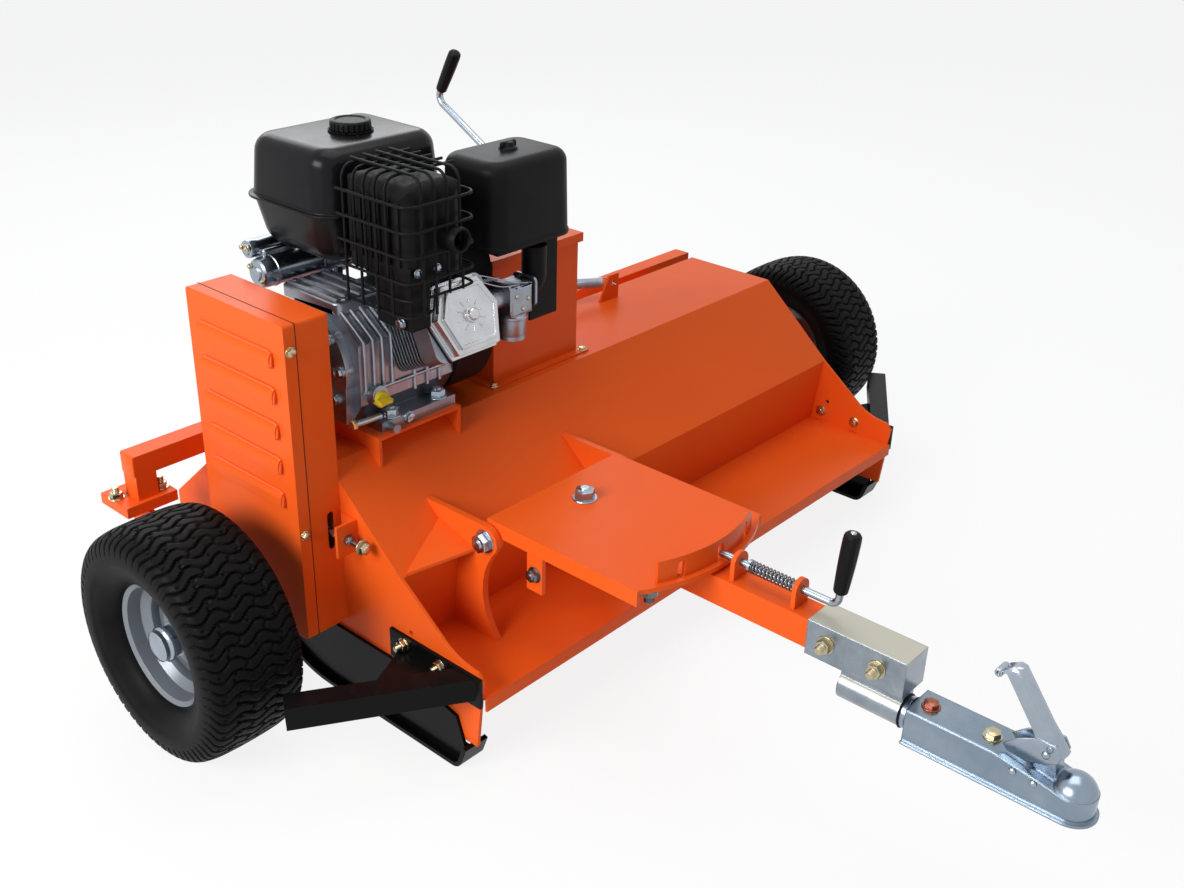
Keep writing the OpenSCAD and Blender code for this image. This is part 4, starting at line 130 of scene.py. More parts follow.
def white_where_seen(tree, soft, white, output, share=None):
    rays = tree.nodes.new("ShaderNodeLightPath")
    mirrored = combine(tree, "MAXIMUM", rays.outputs["Is Glossy Ray"], rays.outputs["Is Transmission Ray"])
    seen = combine(tree, "MAXIMUM", rays.outputs["Is Camera Ray"], mirrored)
    if share is not None:
        seen = combine(tree, "MULTIPLY", seen, share)
    pick = tree.nodes.new("ShaderNodeMixShader")
    join(tree, seen, pick.inputs["Fac"])
    join(tree, soft.outputs[0], pick.inputs[1])
    join(tree, white.outputs[0], pick.inputs[2])
    join(tree, pick.outputs[0], tree.nodes[output].inputs["Surface"])


floor_mat = bpy.data.materials.new("studio_floor")
floor_mat.use_nodes = True
floor.data.materials.append(floor_mat)
floor_tree = floor_mat.node_tree
floor_bsdf = floor_tree.nodes["Principled BSDF"]
fill(floor_bsdf, {"Base Color": (0.93, 0.93, 0.93, 1), "Roughness": 0.7, "Specular IOR Level": 0.2})
floor_white = floor_tree.nodes.new("ShaderNodeEmission")
fill(floor_white, {"Strength": 1.0})
white_where_seen(floor_tree, floor_bsdf, floor_white, "Material Output", FLOOR_WHITE_SHARE)

print("floor ready, white share", FLOOR_WHITE_SHARE)

# %% World
world = bpy.data.worlds.new("studio")
scene.world = world
world.use_nodes = True
sky = world.node_tree
sky_soft = sky.nodes["Background"]
fill(sky_soft, {"Color": (0.86, 0.93, 1.0, 1), "Strength": 0.24})
sky_white = sky.nodes.new("ShaderNodeBackground")
fill(sky_white, {"Color": (1, 1, 1, 1), "Strength": 1.0})
white_where_seen(sky, sky_soft, sky_white, "World Output")
print("world:", world.name)

# %% Lamps
LAMP_AIM = Vector((0, 0.2, 0.4))


def lamp(name, place, wide, tall, watts, tint):
    bpy.ops.object.light_add(type="AREA", location=place)
    light = bpy.context.object
    light.name = name
    light.data.shape = "RECTANGLE"
    light.data.size = wide
    light.data.size_y = tall
    light.data.energy = watts
    light.data.color = tint
    light.rotation_euler = (LAMP_AIM - Vector(place)).to_track_quat("-Z", "Y").to_euler()


lamp("window_key", (-4.2, 0.5, 2.4), 2.6, 1.8, 172, (1.0, 0.98, 0.95))
lamp("window_back", (1.4, 3.4, 2.6), 3.0, 1.6, 45, (0.95, 0.98, 1.0))
lamp("ceiling", (0.2, 0.3, 4.2), 3.2, 3.2, 70, (1, 1, 1))

# %% [markdown]
# ## Finishes
# A finish is a small tree of nodes. Each one starts from the principled shader and adds what the
# real surface has: a drift of tint, a grain in the roughness, a fine bump, and worn or dusty edges.
# Patterns read Object coordinates, in metres, so a noise of scale 500 has lumps of about 2 mm.
# A bevel node rounds the sharp edges of the plates and also finds them, for the wear, and on the pressed ridges
# for a painted highlight too.

# %% Node helpers
def tree_of(name, metal, rough, colour, shine=0.5):
    mat = bpy.data.materials.new(name)
    mat.use_nodes = True
    shader = mat.node_tree.nodes["Principled BSDF"]
    fill(
        shader, {"Metallic": metal, "Roughness": rough, "Base Color": (*colour, 1), "Specular IOR Level": shine}
    )
    mat.diffuse_color = (*colour, 1)
    return mat, mat.node_tree, shader


def spots(tree, scale, detail, rough=0.55):
    where = tree.nodes.new("ShaderNodeTexCoord")
    noise = tree.nodes.new("ShaderNodeTexNoise")
    fill(noise, {"Scale": scale, "Detail": detail, "Roughness": rough})
    join(tree, where.outputs["Object"], noise.inputs["Vector"])
    return noise.outputs["Fac"]


def band(tree, value, low, high, out_low=0.0, out_high=1.0):
    node = tree.nodes.new("ShaderNodeMapRange")
    fill(node, {"From Min": low, "From Max": high, "To Min": out_low, "To Max": out_high})
    join(tree, value, node.inputs["Value"])
    return node.outputs["Result"]


def blend(tree, amount, first, second):
    node = tree.nodes.new("ShaderNodeMix")
    node.data_type = "RGBA"
    join(tree, amount, node.inputs["Factor"])
    for socket, value in ((node.inputs["A"], first), (node.inputs["B"], second)):
        if isinstance(value, tuple):
            socket.default_value = (*value, 1)
        else:
            join(tree, value, socket)
    return node.outputs["Result"]


def rounded_edge(tree, radius):
    soft = tree.nodes.new("ShaderNodeBevel")
    soft.samples = 4
    fill(soft, {"Radius": radius})
    return soft.outputs["Normal"]


def edge_mask(tree, soft):
    flat = tree.nodes.new("ShaderNodeNewGeometry")
    dot = tree.nodes.new("ShaderNodeVectorMath")
    dot.operation = "DOT_PRODUCT"
    join(tree, soft, dot.inputs[0])
    join(tree, flat.outputs["Normal"], dot.inputs[1])
    return band(tree, dot.outputs["Value"], 0.98, 0.80)


def facing_up(tree):
    flat = tree.nodes.new("ShaderNodeNewGeometry")
    parts = tree.nodes.new("ShaderNodeSeparateXYZ")
    join(tree, flat.outputs["Normal"], parts.inputs[0])
    return band(tree, parts.outputs["Z"], 0.3, 1.0)


BUMP_HEIGHT = 0.0004


def lumps(tree, shader, height, strength, soft):
    node = tree.nodes.new("ShaderNodeBump")
    fill(node, {"Strength": strength, "Distance": BUMP_HEIGHT})
    join(tree, height, node.inputs["Height"])
    join(tree, soft, node.inputs["Normal"])
    join(tree, node.outputs["Normal"], shader.inputs["Normal"])


print("node helpers ready")

# %% [markdown]
# ### Paint
# The plates are powder coated. The coat flows into a very shallow orange peel, it is thinner and
# paler on edges, and a little dust lies on what faces up. The pressed ridges are glossier, and their
# paler edge colour is a painted highlight as well as wear. A black enamel and a heat-proof black are the
# same tree with other numbers.

# %% Paint finishes
ROAD_DUST = (0.42, 0.36, 0.30)
EDGE_WEAR_AND_HIGHLIGHT_SHARE = 0.55


def coat(name, colour, drift, rough, peel, dust, edge_wear_and_highlight, shine, edge=0.0012):
    mat, tree, shader = tree_of(name, 0.0, rough, colour, shine)
    soft = rounded_edge(tree, edge)
    tint = band(tree, spots(tree, 5.0, 4.0), 0.3, 0.7)
    body = blend(tree, tint, colour, drift)
    grime = combine(tree, "MULTIPLY", band(tree, spots(tree, 11.0, 6.0, 0.65), 0.45, 0.75), facing_up(tree))
    dusting = combine(tree, "MULTIPLY", grime, dust)
    body = blend(tree, dusting, body, ROAD_DUST)
    # The edge colour is wear, and on the pressed ridges it is also a painted highlight.
    scuff_and_highlight_mask = combine(tree, "MULTIPLY", edge_mask(tree, soft), band(tree, spots(tree, 60.0, 4.0), 0.35, 0.7))
    body = blend(tree, combine(tree, "MULTIPLY", scuff_and_highlight_mask, EDGE_WEAR_AND_HIGHLIGHT_SHARE), body, edge_wear_and_highlight)
    join(tree, body, shader.inputs["Base Color"])
    gloss = band(tree, spots(tree, 23.0, 5.0), 0.3, 0.7, rough - 0.02, rough + 0.03)
    join(tree, combine(tree, "ADD", gloss, dusting), shader.inputs["Roughness"])
    lumps(tree, shader, spots(tree, 420.0, 2.0), peel, soft)
    return mat


ORANGE, ORANGE_DRIFT = (0.84, 0.110, 0.013), (0.82, 0.106, 0.012)
DARK_WEAR = (0.03, 0.03, 0.03)
orange_paint = coat("orange_paint", ORANGE, ORANGE_DRIFT, 0.30, 0.04, 0.0, (0.90, 0.20, 0.05), 0.09)
# The pale edge colour of the pressed paint is a painted highlight along the louvre ridges, on top of wear.
pressed_paint = coat("pressed_paint", ORANGE, ORANGE_DRIFT, 0.16, 0.04, 0.0, (0.92, 0.34, 0.12), 0.45)
black_paint = coat(
    "black_paint", (0.0035, 0.0035, 0.004), (0.005, 0.005, 0.0055), 0.24, 0.08, 0.01, DARK_WEAR, 0.08
)
heat_black = coat(
    "heat_black", (0.005, 0.005, 0.0055), (0.008, 0.008, 0.009), 0.42, 0.20, 0.02, DARK_WEAR, 0.08
)
tank_enamel = coat(
    "tank_enamel", (0.004, 0.004, 0.005), (0.006, 0.006, 0.0075), 0.24, 0.06, 0.01, (0.02, 0.02, 0.02), 0.15,
    0.003,
)
rim_silver = coat(
    "rim_silver", (0.22, 0.24, 0.27), (0.18, 0.20, 0.23), 0.34, 0.12, 0.10, (0.4, 0.42, 0.44), 0.25
)
RIM_METAL = 0.55
fill(rim_silver.node_tree.nodes["Principled BSDF"], {"Metallic": RIM_METAL})
print("paints made")

# %% [markdown]
# ### Bare and plated metal
# Zinc plate is bright with cloudy spangle, cast aluminium is dull and grainy, yellow zinc on bolts
# shifts between brass and a pale green, and sprung or turned steel is darker and finely brushed. The
# tongue's sleeve has gone dull and warm on its top face, where the weather lies on it.

# %% Metal finishes
def plate(name, colour, drift, rough, cloud, grain, depth, vary=0.08, edge=0.0008):
    mat, tree, shader = tree_of(name, 1.0, rough, colour)
    soft = rounded_edge(tree, edge)
    shade = band(tree, spots(tree, cloud, 5.0, 0.6), 0.32, 0.68)
    join(tree, blend(tree, shade, colour, drift), shader.inputs["Base Color"])
    gloss = spots(tree, grain, 4.0, 0.6)
    join(tree, band(tree, gloss, 0.3, 0.7, rough - vary, rough + vary), shader.inputs["Roughness"])
    lumps(tree, shader, gloss, depth, soft)
    return mat


zinc = plate("zinc", (0.38, 0.43, 0.49), (0.30, 0.35, 0.41), 0.24, 14.0, 90.0, 0.02, 0.04)
rolled_zinc = plate("rolled_zinc", (0.29, 0.35, 0.42), (0.21, 0.27, 0.34), 0.24, 12.0, 90.0, 0.02, 0.04, 0.005)
sleeve_zinc = plate("sleeve_zinc", (0.32, 0.36, 0.40), (0.23, 0.27, 0.31), 0.28, 26.0, 110.0, 0.05, 0.06, 0.003)
WEATHERED = (0.42, 0.41, 0.35)
sleeve = sleeve_zinc.node_tree
sleeve_shader = sleeve.nodes["Principled BSDF"]
sleeve_tint = sleeve_shader.inputs["Base Color"].links[0].from_socket
join(sleeve, blend(sleeve, facing_up(sleeve), sleeve_tint, WEATHERED), sleeve_shader.inputs["Base Color"])
join(sleeve, band(sleeve, facing_up(sleeve), 0.0, 1.0, 0.26, 0.52), sleeve_shader.inputs["Roughness"])
yellow_zinc = plate("yellow_zinc", (0.52, 0.42, 0.24), (0.45, 0.43, 0.31), 0.24, 90.0, 240.0, 0.03, 0.04)
cast_alloy = plate("cast_alloy", (0.34, 0.36, 0.40), (0.25, 0.27, 0.31), 0.36, 24.0, 420.0, 0.12, 0.05)
smooth_alloy = plate("smooth_alloy", (0.56, 0.57, 0.59), (0.48, 0.49, 0.51), 0.26, 30.0, 60.0, 0.0, 0.02)
turned_steel = plate("turned_steel", (0.34, 0.34, 0.35), (0.26, 0.25, 0.25), 0.36, 50.0, 240.0, 0.12)
spring_wire = plate("spring_wire", (0.20, 0.20, 0.21), (0.12, 0.11, 0.11), 0.34, 90.0, 300.0, 0.10)
brass = plate("brass", (0.72, 0.50, 0.20), (0.60, 0.40, 0.15), 0.34, 60.0, 260.0, 0.12)
bronzed = plate("bronzed_bolt", (0.36, 0.12, 0.08), (0.28, 0.10, 0.07), 0.34, 120.0, 300.0, 0.10)
print("metals made")

# %% [markdown]
# ### Rubber and moulded plastic
# Tyre rubber is nearly black, with a trace of paler dust in the tread. Moulded plastic has an even fine
# grain and hardly any gloss.

# %% Rubber and plastic finishes
def moulded(name, colour, drift, rough, grain, depth, dusty, dust_colour, shine=0.10, edge=0.0012):
    mat, tree, shader = tree_of(name, 0.0, rough, colour, shine)
    soft = rounded_edge(tree, edge)
    tint = band(tree, spots(tree, 14.0, 5.0, 0.65), 0.35, 0.7)
    body = blend(tree, tint, colour, drift)
    chalk = combine(tree, "MULTIPLY", band(tree, spots(tree, 45.0, 6.0, 0.7), 0.48, 0.8), dusty)
    join(tree, blend(tree, chalk, body, dust_colour), shader.inputs["Base Color"])
    fine = spots(tree, grain, 3.0)
    join(tree, band(tree, fine, 0.3, 0.7, rough - 0.06, rough + 0.08), shader.inputs["Roughness"])
    lumps(tree, shader, fine, depth, soft)
    return mat


tyre_rubber = moulded(
    "tyre_rubber", (0.0035, 0.0035, 0.004), (0.006, 0.006, 0.0065), 0.46, 600.0, 0.15, 0.06, DARK_WEAR, 0.06
)
belt_rubber = moulded(
    "belt_rubber", (0.020, 0.020, 0.021), (0.030, 0.029, 0.028), 0.70, 500.0, 0.3, 0.2, (0.09, 0.085, 0.08)
)
grip_rubber = moulded(
    "grip_rubber", (0.005, 0.005, 0.0055), (0.008, 0.008, 0.009), 0.40, 700.0, 0.15, 0.05, DARK_WEAR
)
black_plastic = moulded(
    "black_plastic", (0.007, 0.007, 0.0078), (0.009, 0.009, 0.010), 0.40, 800.0, 0.25, 0.04, DARK_WEAR, 0.09,
    0.003,
)
yellow_plastic = moulded(
    "yellow_plastic", (0.78, 0.60, 0.03), (0.70, 0.52, 0.02), 0.36, 500.0, 0.1, 0.1, (0.5, 0.4, 0.2), 0.25
)
print("rubbers made")

# %% [markdown]
# ### Which solid wears what
# The record names a material slot for every solid. Each slot gets one of the finishes above, and a
# few solids that differ from their slot are named on their own.

# %% Dress the solids
slot_finish = {
    "orange_paint": orange_paint,
    "black_paint": black_paint,
    "black_heat_paint": heat_black,
    "tank_paint": tank_enamel,
    "black_plastic": black_plastic,
    "engine_alloy": cast_alloy,
    "yellow_plastic": yellow_plastic,
    "zinc": zinc,
    "spring_steel": spring_wire,
    "cast_steel": turned_steel,
    "tyre_rubber": tyre_rubber,
    "belt_rubber": belt_rubber,
    "grip_rubber": grip_rubber,
    "rim_paint": rim_silver,
}
own_finish = {
    "coupler_body": rolled_zinc,
    "coupler_sleeve": sleeve_zinc,
    "foot_bolts": yellow_zinc,
    "hinge_bolts": zinc,
    "lift_nut": brass,
    "valve_cover": smooth_alloy,
    "rotor_drum": turned_steel,
    "flail_row_1": turned_steel,
    "flail_row_2": turned_steel,
    "flail_row_3": turned_steel,
}
for part in frame["record"]["subparts"]:
    solid = frame["nodes"][part["node"]]
    solid.data.materials.clear()
    solid.data.materials.append(own_finish.get(part["node"], slot_finish[part["material_slot"]]))

# %% [markdown]
# ## Bench tools
# Small helpers stand for what a hand does at the bench, and each one comes up where it is first needed.
# These first ones pick a piece up, put it down and clean its mesh. `seat` is the last step of every
# piece: it applies the transforms, smooths the flat shading, puts the finish on, and says which body
# carries the piece.

# %% Bench tools
made = []
TURN = 2 * math.pi
MERGE_GAP = 0.00001


def only(piece):
    bpy.ops.object.select_all(action="DESELECT")
    piece.select_set(True)
    bpy.context.view_layer.objects.active = piece


def let_go():
    bpy.ops.object.mode_set(mode="OBJECT")


def apply_moves():
    bpy.ops.object.transform_apply(location=True, rotation=True, scale=True)


def tidy_mesh(piece):
    only(piece)
    bpy.ops.object.mode_set(mode="EDIT")
    bpy.ops.mesh.select_all(action="SELECT")
    bpy.ops.mesh.remove_doubles(threshold=MERGE_GAP)
    bpy.ops.mesh.normals_make_consistent(inside=False)
    let_go()
    return piece


def seat(piece, name, finish, body, nodes=(), angle=32):
    only(piece)
    apply_moves()
    bpy.ops.object.shade_smooth_by_angle(angle=math.radians(angle))
    piece.name = name
    piece.data.name = name
    piece.data.materials.clear()
    piece.data.materials.append(finish)
    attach(piece, body)
    if nodes:
        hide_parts(*nodes)
    made.append(name)
    return piece


print("bench ready")

# %% [markdown]
# ## Turf tyres
# A turf tyre has a low tread of small wavy blocks, so that it grips without tearing grass. One way is to
# model a block and repeat it; here the whole tread is one flat grid instead, because its waves run on from
# block to block. The grid is wrapped round the wheel like a label: one side of it becomes the way round,
# the other the closed section of the carcass, and the grooves are pressed in along the surface's normal.

# %% Tyre section
SIDES = (("right", -1), ("left", 1))
WHEEL_X, AXLE_Y, AXLE_Z = 0.875, 0.438, 0.203
TREAD_R = 0.203
tyre_half = [(0.050, 0.1045), (0.066, 0.112), (0.0795, 0.130), (0.0868, 0.152), (0.0872, 0.168)]
tyre_half += [(0.0835, 0.184), (0.0745, 0.1955), (0.055, 0.2008), (0.028, 0.2025)]
tyre_skin = [(-x, r) for x, r in tyre_half] + [(0.0, TREAD_R)] + list(reversed(tyre_half))
tyre_lining = [(0.046, 0.106), (0.058, 0.125), (0.066, 0.152), (0.058, 0.180), (0.0, 0.188)]
tyre_lining += [(-x, r) for x, r in reversed(tyre_lining[:-1])] + [tyre_skin[0]]
SKIN_ROWS = 84
LINING_ROWS = 14
ROUND_STEPS = 832
NO_TREAD = 9.0


def flowing(points, per):
    points = [Vector(q) for q in points]
    chain = [points[0] * 2 - points[1]] + points + [points[-1] * 2 - points[-2]]
    line = []
    for a, b, c, d in zip(chain, chain[1:], chain[2:], chain[3:]):
        for k in range(per):
            s = k / per
            curve = 2 * b + (c - a) * s + (2 * a - 5 * b + 4 * c - d) * s * s + (3 * b - a - 3 * c + d) * s**3
            line.append(0.5 * curve)
    return line + [points[-1]]


def even_steps(line, count):
    line = np.array([tuple(q)[:2] for q in flowing([(x, r, 0) for x, r in line], 12)])
    way = np.concatenate([[0], np.cumsum(np.linalg.norm(np.diff(line, axis=0), axis=1))])
    steps = np.linspace(0, way[-1], count + 1)
    return np.stack([np.interp(steps, way, line[:, k]) for k in (0, 1)], axis=1), steps - way[-1] / 2


skin_points, skin_way = even_steps(tyre_skin, SKIN_ROWS)
lining_points, _ = even_steps([tyre_skin[-1]] + tyre_lining, LINING_ROWS)
section = np.concatenate([skin_points, lining_points[1:]])
across = np.concatenate([skin_way, np.full(LINING_ROWS, NO_TREAD)])
run = np.gradient(section, axis=0)
outward = np.stack([-run[:, 1], run[:, 0]], axis=1)
outward /= np.linalg.norm(outward, axis=1)[:, None] + 1e-9
print("section points", len(section))

# %% [markdown]
# ### Tread
# The tread is a row of waves across the tyre, crossed by short slits in a brick pattern. It could be carved
# with many cutters, which is slow and leaves ragged walls. A formula gives every point of the grid its depth
# instead, so the grooves stay even all the way round.

# %% Tread pattern
BLOCKS_ROUND = 64
GROOVE_DEPTH = 0.0052
GROOVE_HALF, GROOVE_WALL = 0.0015, 0.0012
WAVE_SWING, WAVE_LENGTH = 0.32, 0.056
ROW_PITCH, ROW_SWAY = 0.0235, 0.0025
SLIT_HALF, SLIT_WALL, SLIT_SHARE = 0.0009, 0.0011, 0.8
SHOULDER_AT, SHOULDER_FADE = 0.107, 0.012
BEADS = ((0.123, 0.0022), (0.140, 0.0016))
BEAD_HEIGHT = 0.0011


def tread_depth(angle, lateral):
    pitch = TURN * TREAD_R / BLOCKS_ROUND
    wave = angle / TURN * BLOCKS_ROUND + WAVE_SWING * np.sin(TURN * lateral / WAVE_LENGTH)
    to_groove = np.abs(wave - np.round(wave)) * pitch
    depth = np.clip(1 - (to_groove - GROOVE_HALF) / GROOVE_WALL, 0, 1)
    for row in range(-3, 4):
        slit = np.abs(lateral - row * ROW_PITCH - ROW_SWAY * np.sin(TURN * wave))
        cut = np.clip(1 - (slit - SLIT_HALF) / SLIT_WALL, 0, 1) * ((np.floor(wave) + row) % 2 == 0)
        depth = np.maximum(depth, SLIT_SHARE * cut)
    shoulder = np.clip((SHOULDER_AT - np.abs(lateral)) / SHOULDER_FADE, 0, 1)
    bead = sum(np.exp(-(((np.abs(lateral) - place) / width) ** 2)) for place, width in BEADS)
    return GROOVE_DEPTH * depth * shoulder - BEAD_HEIGHT * bead


print("groove depth in mm:", GROOVE_DEPTH * 1000)


# %% Wrap the grid
def make_tyre(name, body, node, centre):
    bpy.ops.mesh.primitive_grid_add(x_subdivisions=ROUND_STEPS, y_subdivisions=len(section) - 1, size=1)
    tyre = bpy.context.object
    count = len(tyre.data.vertices)
    spot = np.zeros(count * 3)
    tyre.data.vertices.foreach_get("co", spot)
    spot = spot.reshape(-1, 3)
    angle = (spot[:, 0] + 0.5) * TURN
    row = np.rint((spot[:, 1] + 0.5) * (len(section) - 1)).astype(int)
    depth = np.where(across[row] < NO_TREAD, tread_depth(angle, across[row]), 0)
    flat = section[row] - outward[row] * depth[:, None]
    spot[:, 0] = centre[0] + flat[:, 0]
    spot[:, 1] = centre[1] + flat[:, 1] * np.cos(angle)
    spot[:, 2] = centre[2] + flat[:, 1] * np.sin(angle)
    tyre.data.vertices.foreach_set("co", spot.ravel())
    tyre.data.update()
    tidy_mesh(tyre)
    return seat(tyre, name, tyre_rubber, body, [node], 40)


for side, sign in SIDES:
    make_tyre("turf_tyre_" + side, "wheel_" + side, "tyre_" + side, (WHEEL_X * sign, AXLE_Y, AXLE_Z))
print("tyres", made)

# %% [markdown]
# ## Wheel fittings
# Each wheel has a rubber valve stem through the rim and a pressed hub cap with a rolled ring. Stacked
# cylinders would do for both, but their steps would stay sharp. A profile drawn point by point and spun
# round an axis, as on a lathe, gives the small radii as well.

# %% Lathe
def strand(points):
    bpy.ops.mesh.primitive_plane_add(size=0.001)
    piece = bpy.context.object
    bpy.ops.object.mode_set(mode="EDIT")
    bpy.ops.mesh.select_mode(type="VERT")
    bpy.ops.mesh.select_all(action="SELECT")
    bpy.ops.mesh.merge(type="CENTER")
    bpy.ops.transform.translate(value=points[0])
    for start, end in zip(points, points[1:]):
        bpy.ops.mesh.extrude_vertices_move(TRANSFORM_OT_translate={"value": Vector(end) - Vector(start)})
    return piece


def put(piece, place, axis, size=1.0, twist=0.0):
    turn = Vector(axis).to_track_quat("Z", "Y").to_matrix().to_4x4()
    spun = Matrix.Translation(place) @ turn @ Matrix.Rotation(twist, 4, "Z")
    piece.matrix_world = spun @ Matrix.Diagonal((size, size, size, 1))
    only(piece)
    apply_moves()
    return piece


def lathe(profile, steps, place=(0, 0, 0), axis=(0, 0, 1)):
    piece = strand([(radius, 0, height) for radius, height in profile])
    bpy.ops.mesh.select_all(action="SELECT")
    bpy.ops.mesh.spin(steps=steps, angle=TURN, center=(0, 0, 0), axis=(0, 0, 1))
    let_go()
    return put(tidy_mesh(piece), place, axis)


print("lathe ready")

# %% Valve stems and hub caps
STEM_OUT, STEM_OFF = 0.010, 0.052
stem_profile = [(0, 0), (0.0062, 0), (0.0062, 0.004), (0.0042, 0.007), (0.0040, 0.018), (0.0046, 0.019)]
stem_profile += [(0.0046, 0.028), (0.0030, 0.031), (0, 0.031)]
dome_profile = [(0, 0.0022), (0.012, 0.0018), (0.021, 0.0002), (0.0262, -0.003), (0.0268, -0.010)]
dome_profile += [(0.0290, -0.0115), (0.0310, -0.0135), (0.0316, -0.016), (0.0300, -0.0185), (0.0, -0.0185)]
for side, sign in SIDES:
    out = (sign, 0, 0)
    stem_foot = Vector((WHEEL_X * sign + STEM_OUT * sign, AXLE_Y - STEM_OFF, AXLE_Z + STEM_OFF))
    stem = lathe(stem_profile, 16, stem_foot, out)
    seat(stem, "valve_stem_" + side, grip_rubber, "wheel_" + side)
    rim_low, rim_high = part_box("rim_" + side)
    face = rim_high[0] if sign > 0 else rim_low[0]
    dome = lathe(dome_profile, 40, (face, AXLE_Y, AXLE_Z), out)
    seat(dome, "hub_dome_" + side, zinc, "wheel_" + side)
print("wheel fittings made")

# %% [markdown]
# ## Springs
# A coil spring is one wire on a helix. The lock spring sits on its pin between an ear and a collar, with a
# closed turn at each end; the real one shortens when the pin is pulled, and this one keeps a single length.
# The return spring is hooked through a lug on the deck and pulls on an eye at the crank's post. Both stand in
# for the coarser coils of the frame. A screw modifier could wind them, but a line of points can also carry the
# hooks at the ends, and it becomes a wire when its curve gets a round section.

# %% Wire and coils
def rod(points, radius, sides):
    piece = strand(points)
    let_go()
    only(piece)
    bpy.ops.object.convert(target="CURVE")
    line = bpy.context.object
    line.data.bevel_depth = radius
    line.data.bevel_resolution = sides
    line.data.use_fill_caps = True
    bpy.ops.object.convert(target="MESH")
    return tidy_mesh(bpy.context.object)


END_RISE = 0.0032


def coil_line(start, axis, side, radius, length, turns, per_turn=20, closed=1.0):
    axis = Vector(axis).normalized()
    side = Vector(side).normalized()
    face = axis.cross(side)
    line = []
    steps = int(turns * per_turn)
    for k in range(steps + 1):
        s = k / per_turn
        share = min(max((s - closed) / (turns - 2 * closed), 0), 1)
        lift = END_RISE * min(s, closed) + END_RISE * max(0, s - turns + closed)
        along = lift + share * (length - 2 * END_RISE * closed)
        turn = TURN * s
        line.append(Vector(start) + axis * along + (side * math.cos(turn) + face * math.sin(turn)) * radius)
    return line


print("wire ready")

# %% Lock coil
TONGUE_X = -0.325
LOCK_EAR = (TONGUE_X, -0.3522, 0.385)
LOCK_LENGTH, LOCK_RADIUS, LOCK_TURNS = 0.0804, 0.0092, 13
lock_coil = rod(coil_line(LOCK_EAR, (0, 1, 0), (0, 0, 1), LOCK_RADIUS, LOCK_LENGTH, LOCK_TURNS), 0.0014, 2)
seat(lock_coil, "lock_coil", spring_wire, "tongue", ["lock_spring"], 60)
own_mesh(lock_coil)
print("lock coil points:", len(lock_coil.data.vertices))

# %% Return coil
lug_hole = Vector((0.285, 0.544, 0.478))
coil_from = Vector((0.269, 0.559, 0.478))
eye_top = Vector((0.024, 0.639, 0.506))
pull = (eye_top - coil_from).normalized()
pull_side = (Vector((0, 0, 1)) - pull * pull.z).normalized()
body_line = coil_line(coil_from, pull, pull_side, 0.010, 0.1008, 24, 16, 0.0)
lug_hook = [lug_hole + Vector((0.004, -0.009, -0.004)), lug_hole, lug_hole + Vector((-0.003, 0.008, 0.006))]
eye_hook = [coil_from + pull * 0.112, eye_top - pull * 0.012, eye_top]
eye_hook += [eye_top + Vector((0, 0, -0.007)), eye_top + Vector((0.002, 0, -0.013))]
spring_line = flowing([*lug_hook, body_line[0]], 5)[:-1] + body_line
spring_line += flowing([body_line[-1], *eye_hook], 5)[1:]
return_coil = rod(spring_line, 0.0015, 2)
seat(return_coil, "return_coil", zinc, "mower_deck", ["rear_spring"], 60)
print("return coil points:", len(return_coil.data.vertices))

# %% [markdown]
# ## Bolts and nuts
# A nut is a six-sided bar with chamfered corners on a washer, and the end of its bolt stands out of it. A
# nut, a nut on a long stud, a plain head and a rivet are each modelled once, at a size of one, and copied to
# every place with its own size. The chamfer is a bevel on the edges of the top face, which are picked by their
# height.

# %% Edges picked by place
def grab(piece, kind, test):
    only(piece)
    bpy.ops.object.mode_set(mode="EDIT")
    bpy.ops.mesh.select_mode(type=kind)
    bpy.ops.mesh.select_all(action="DESELECT")
    mesh = bmesh.from_edit_mesh(piece.data)
    mesh.normal_update()
    for part in {"VERT": mesh.verts, "EDGE": mesh.edges, "FACE": mesh.faces}[kind]:
        if test(part):
            part.select_set(True)
    mesh.select_flush_mode()
    bmesh.update_edit_mesh(piece.data)


def soften(piece, width, steps, test):
    grab(piece, "EDGE", test)
    bpy.ops.mesh.bevel(offset=width, offset_type="OFFSET", segments=steps, profile=0.5, affect="EDGES")
    let_go()
    return piece


def at_height(level, slack=0.0005):
    return lambda part: all(abs(v.co.z - level) < slack for v in part.verts)


def weld(pieces):
    only(pieces[0])
    if len(pieces) == 1:
        return pieces[0]
    for piece in pieces:
        piece.select_set(True)
    bpy.ops.object.join()
    return bpy.context.object


print("picking ready")


# %% Patterns
def hex_bar(height, base, chamfer):
    bpy.ops.mesh.primitive_cylinder_add(
        vertices=6, radius=1.0, depth=height, location=(0, 0, base + height / 2)
    )
    bar = bpy.context.object
    apply_moves()
    return soften(bar, chamfer, 2, at_height(base + height, 0.001))


washer = [(0.0, 0.0), (1.18, 0.0), (1.22, 0.05), (1.18, 0.13), (0.0, 0.15)]


def thread(turns):
    line = [(0.0, 0.9), (0.56, 0.9)]
    for k in range(turns):
        line += [(0.56, 0.98 + 0.12 * k), (0.50, 1.04 + 0.12 * k)]
    return line + [(0.44, 1.02 + 0.12 * turns), (0.0, 1.03 + 0.12 * turns)]


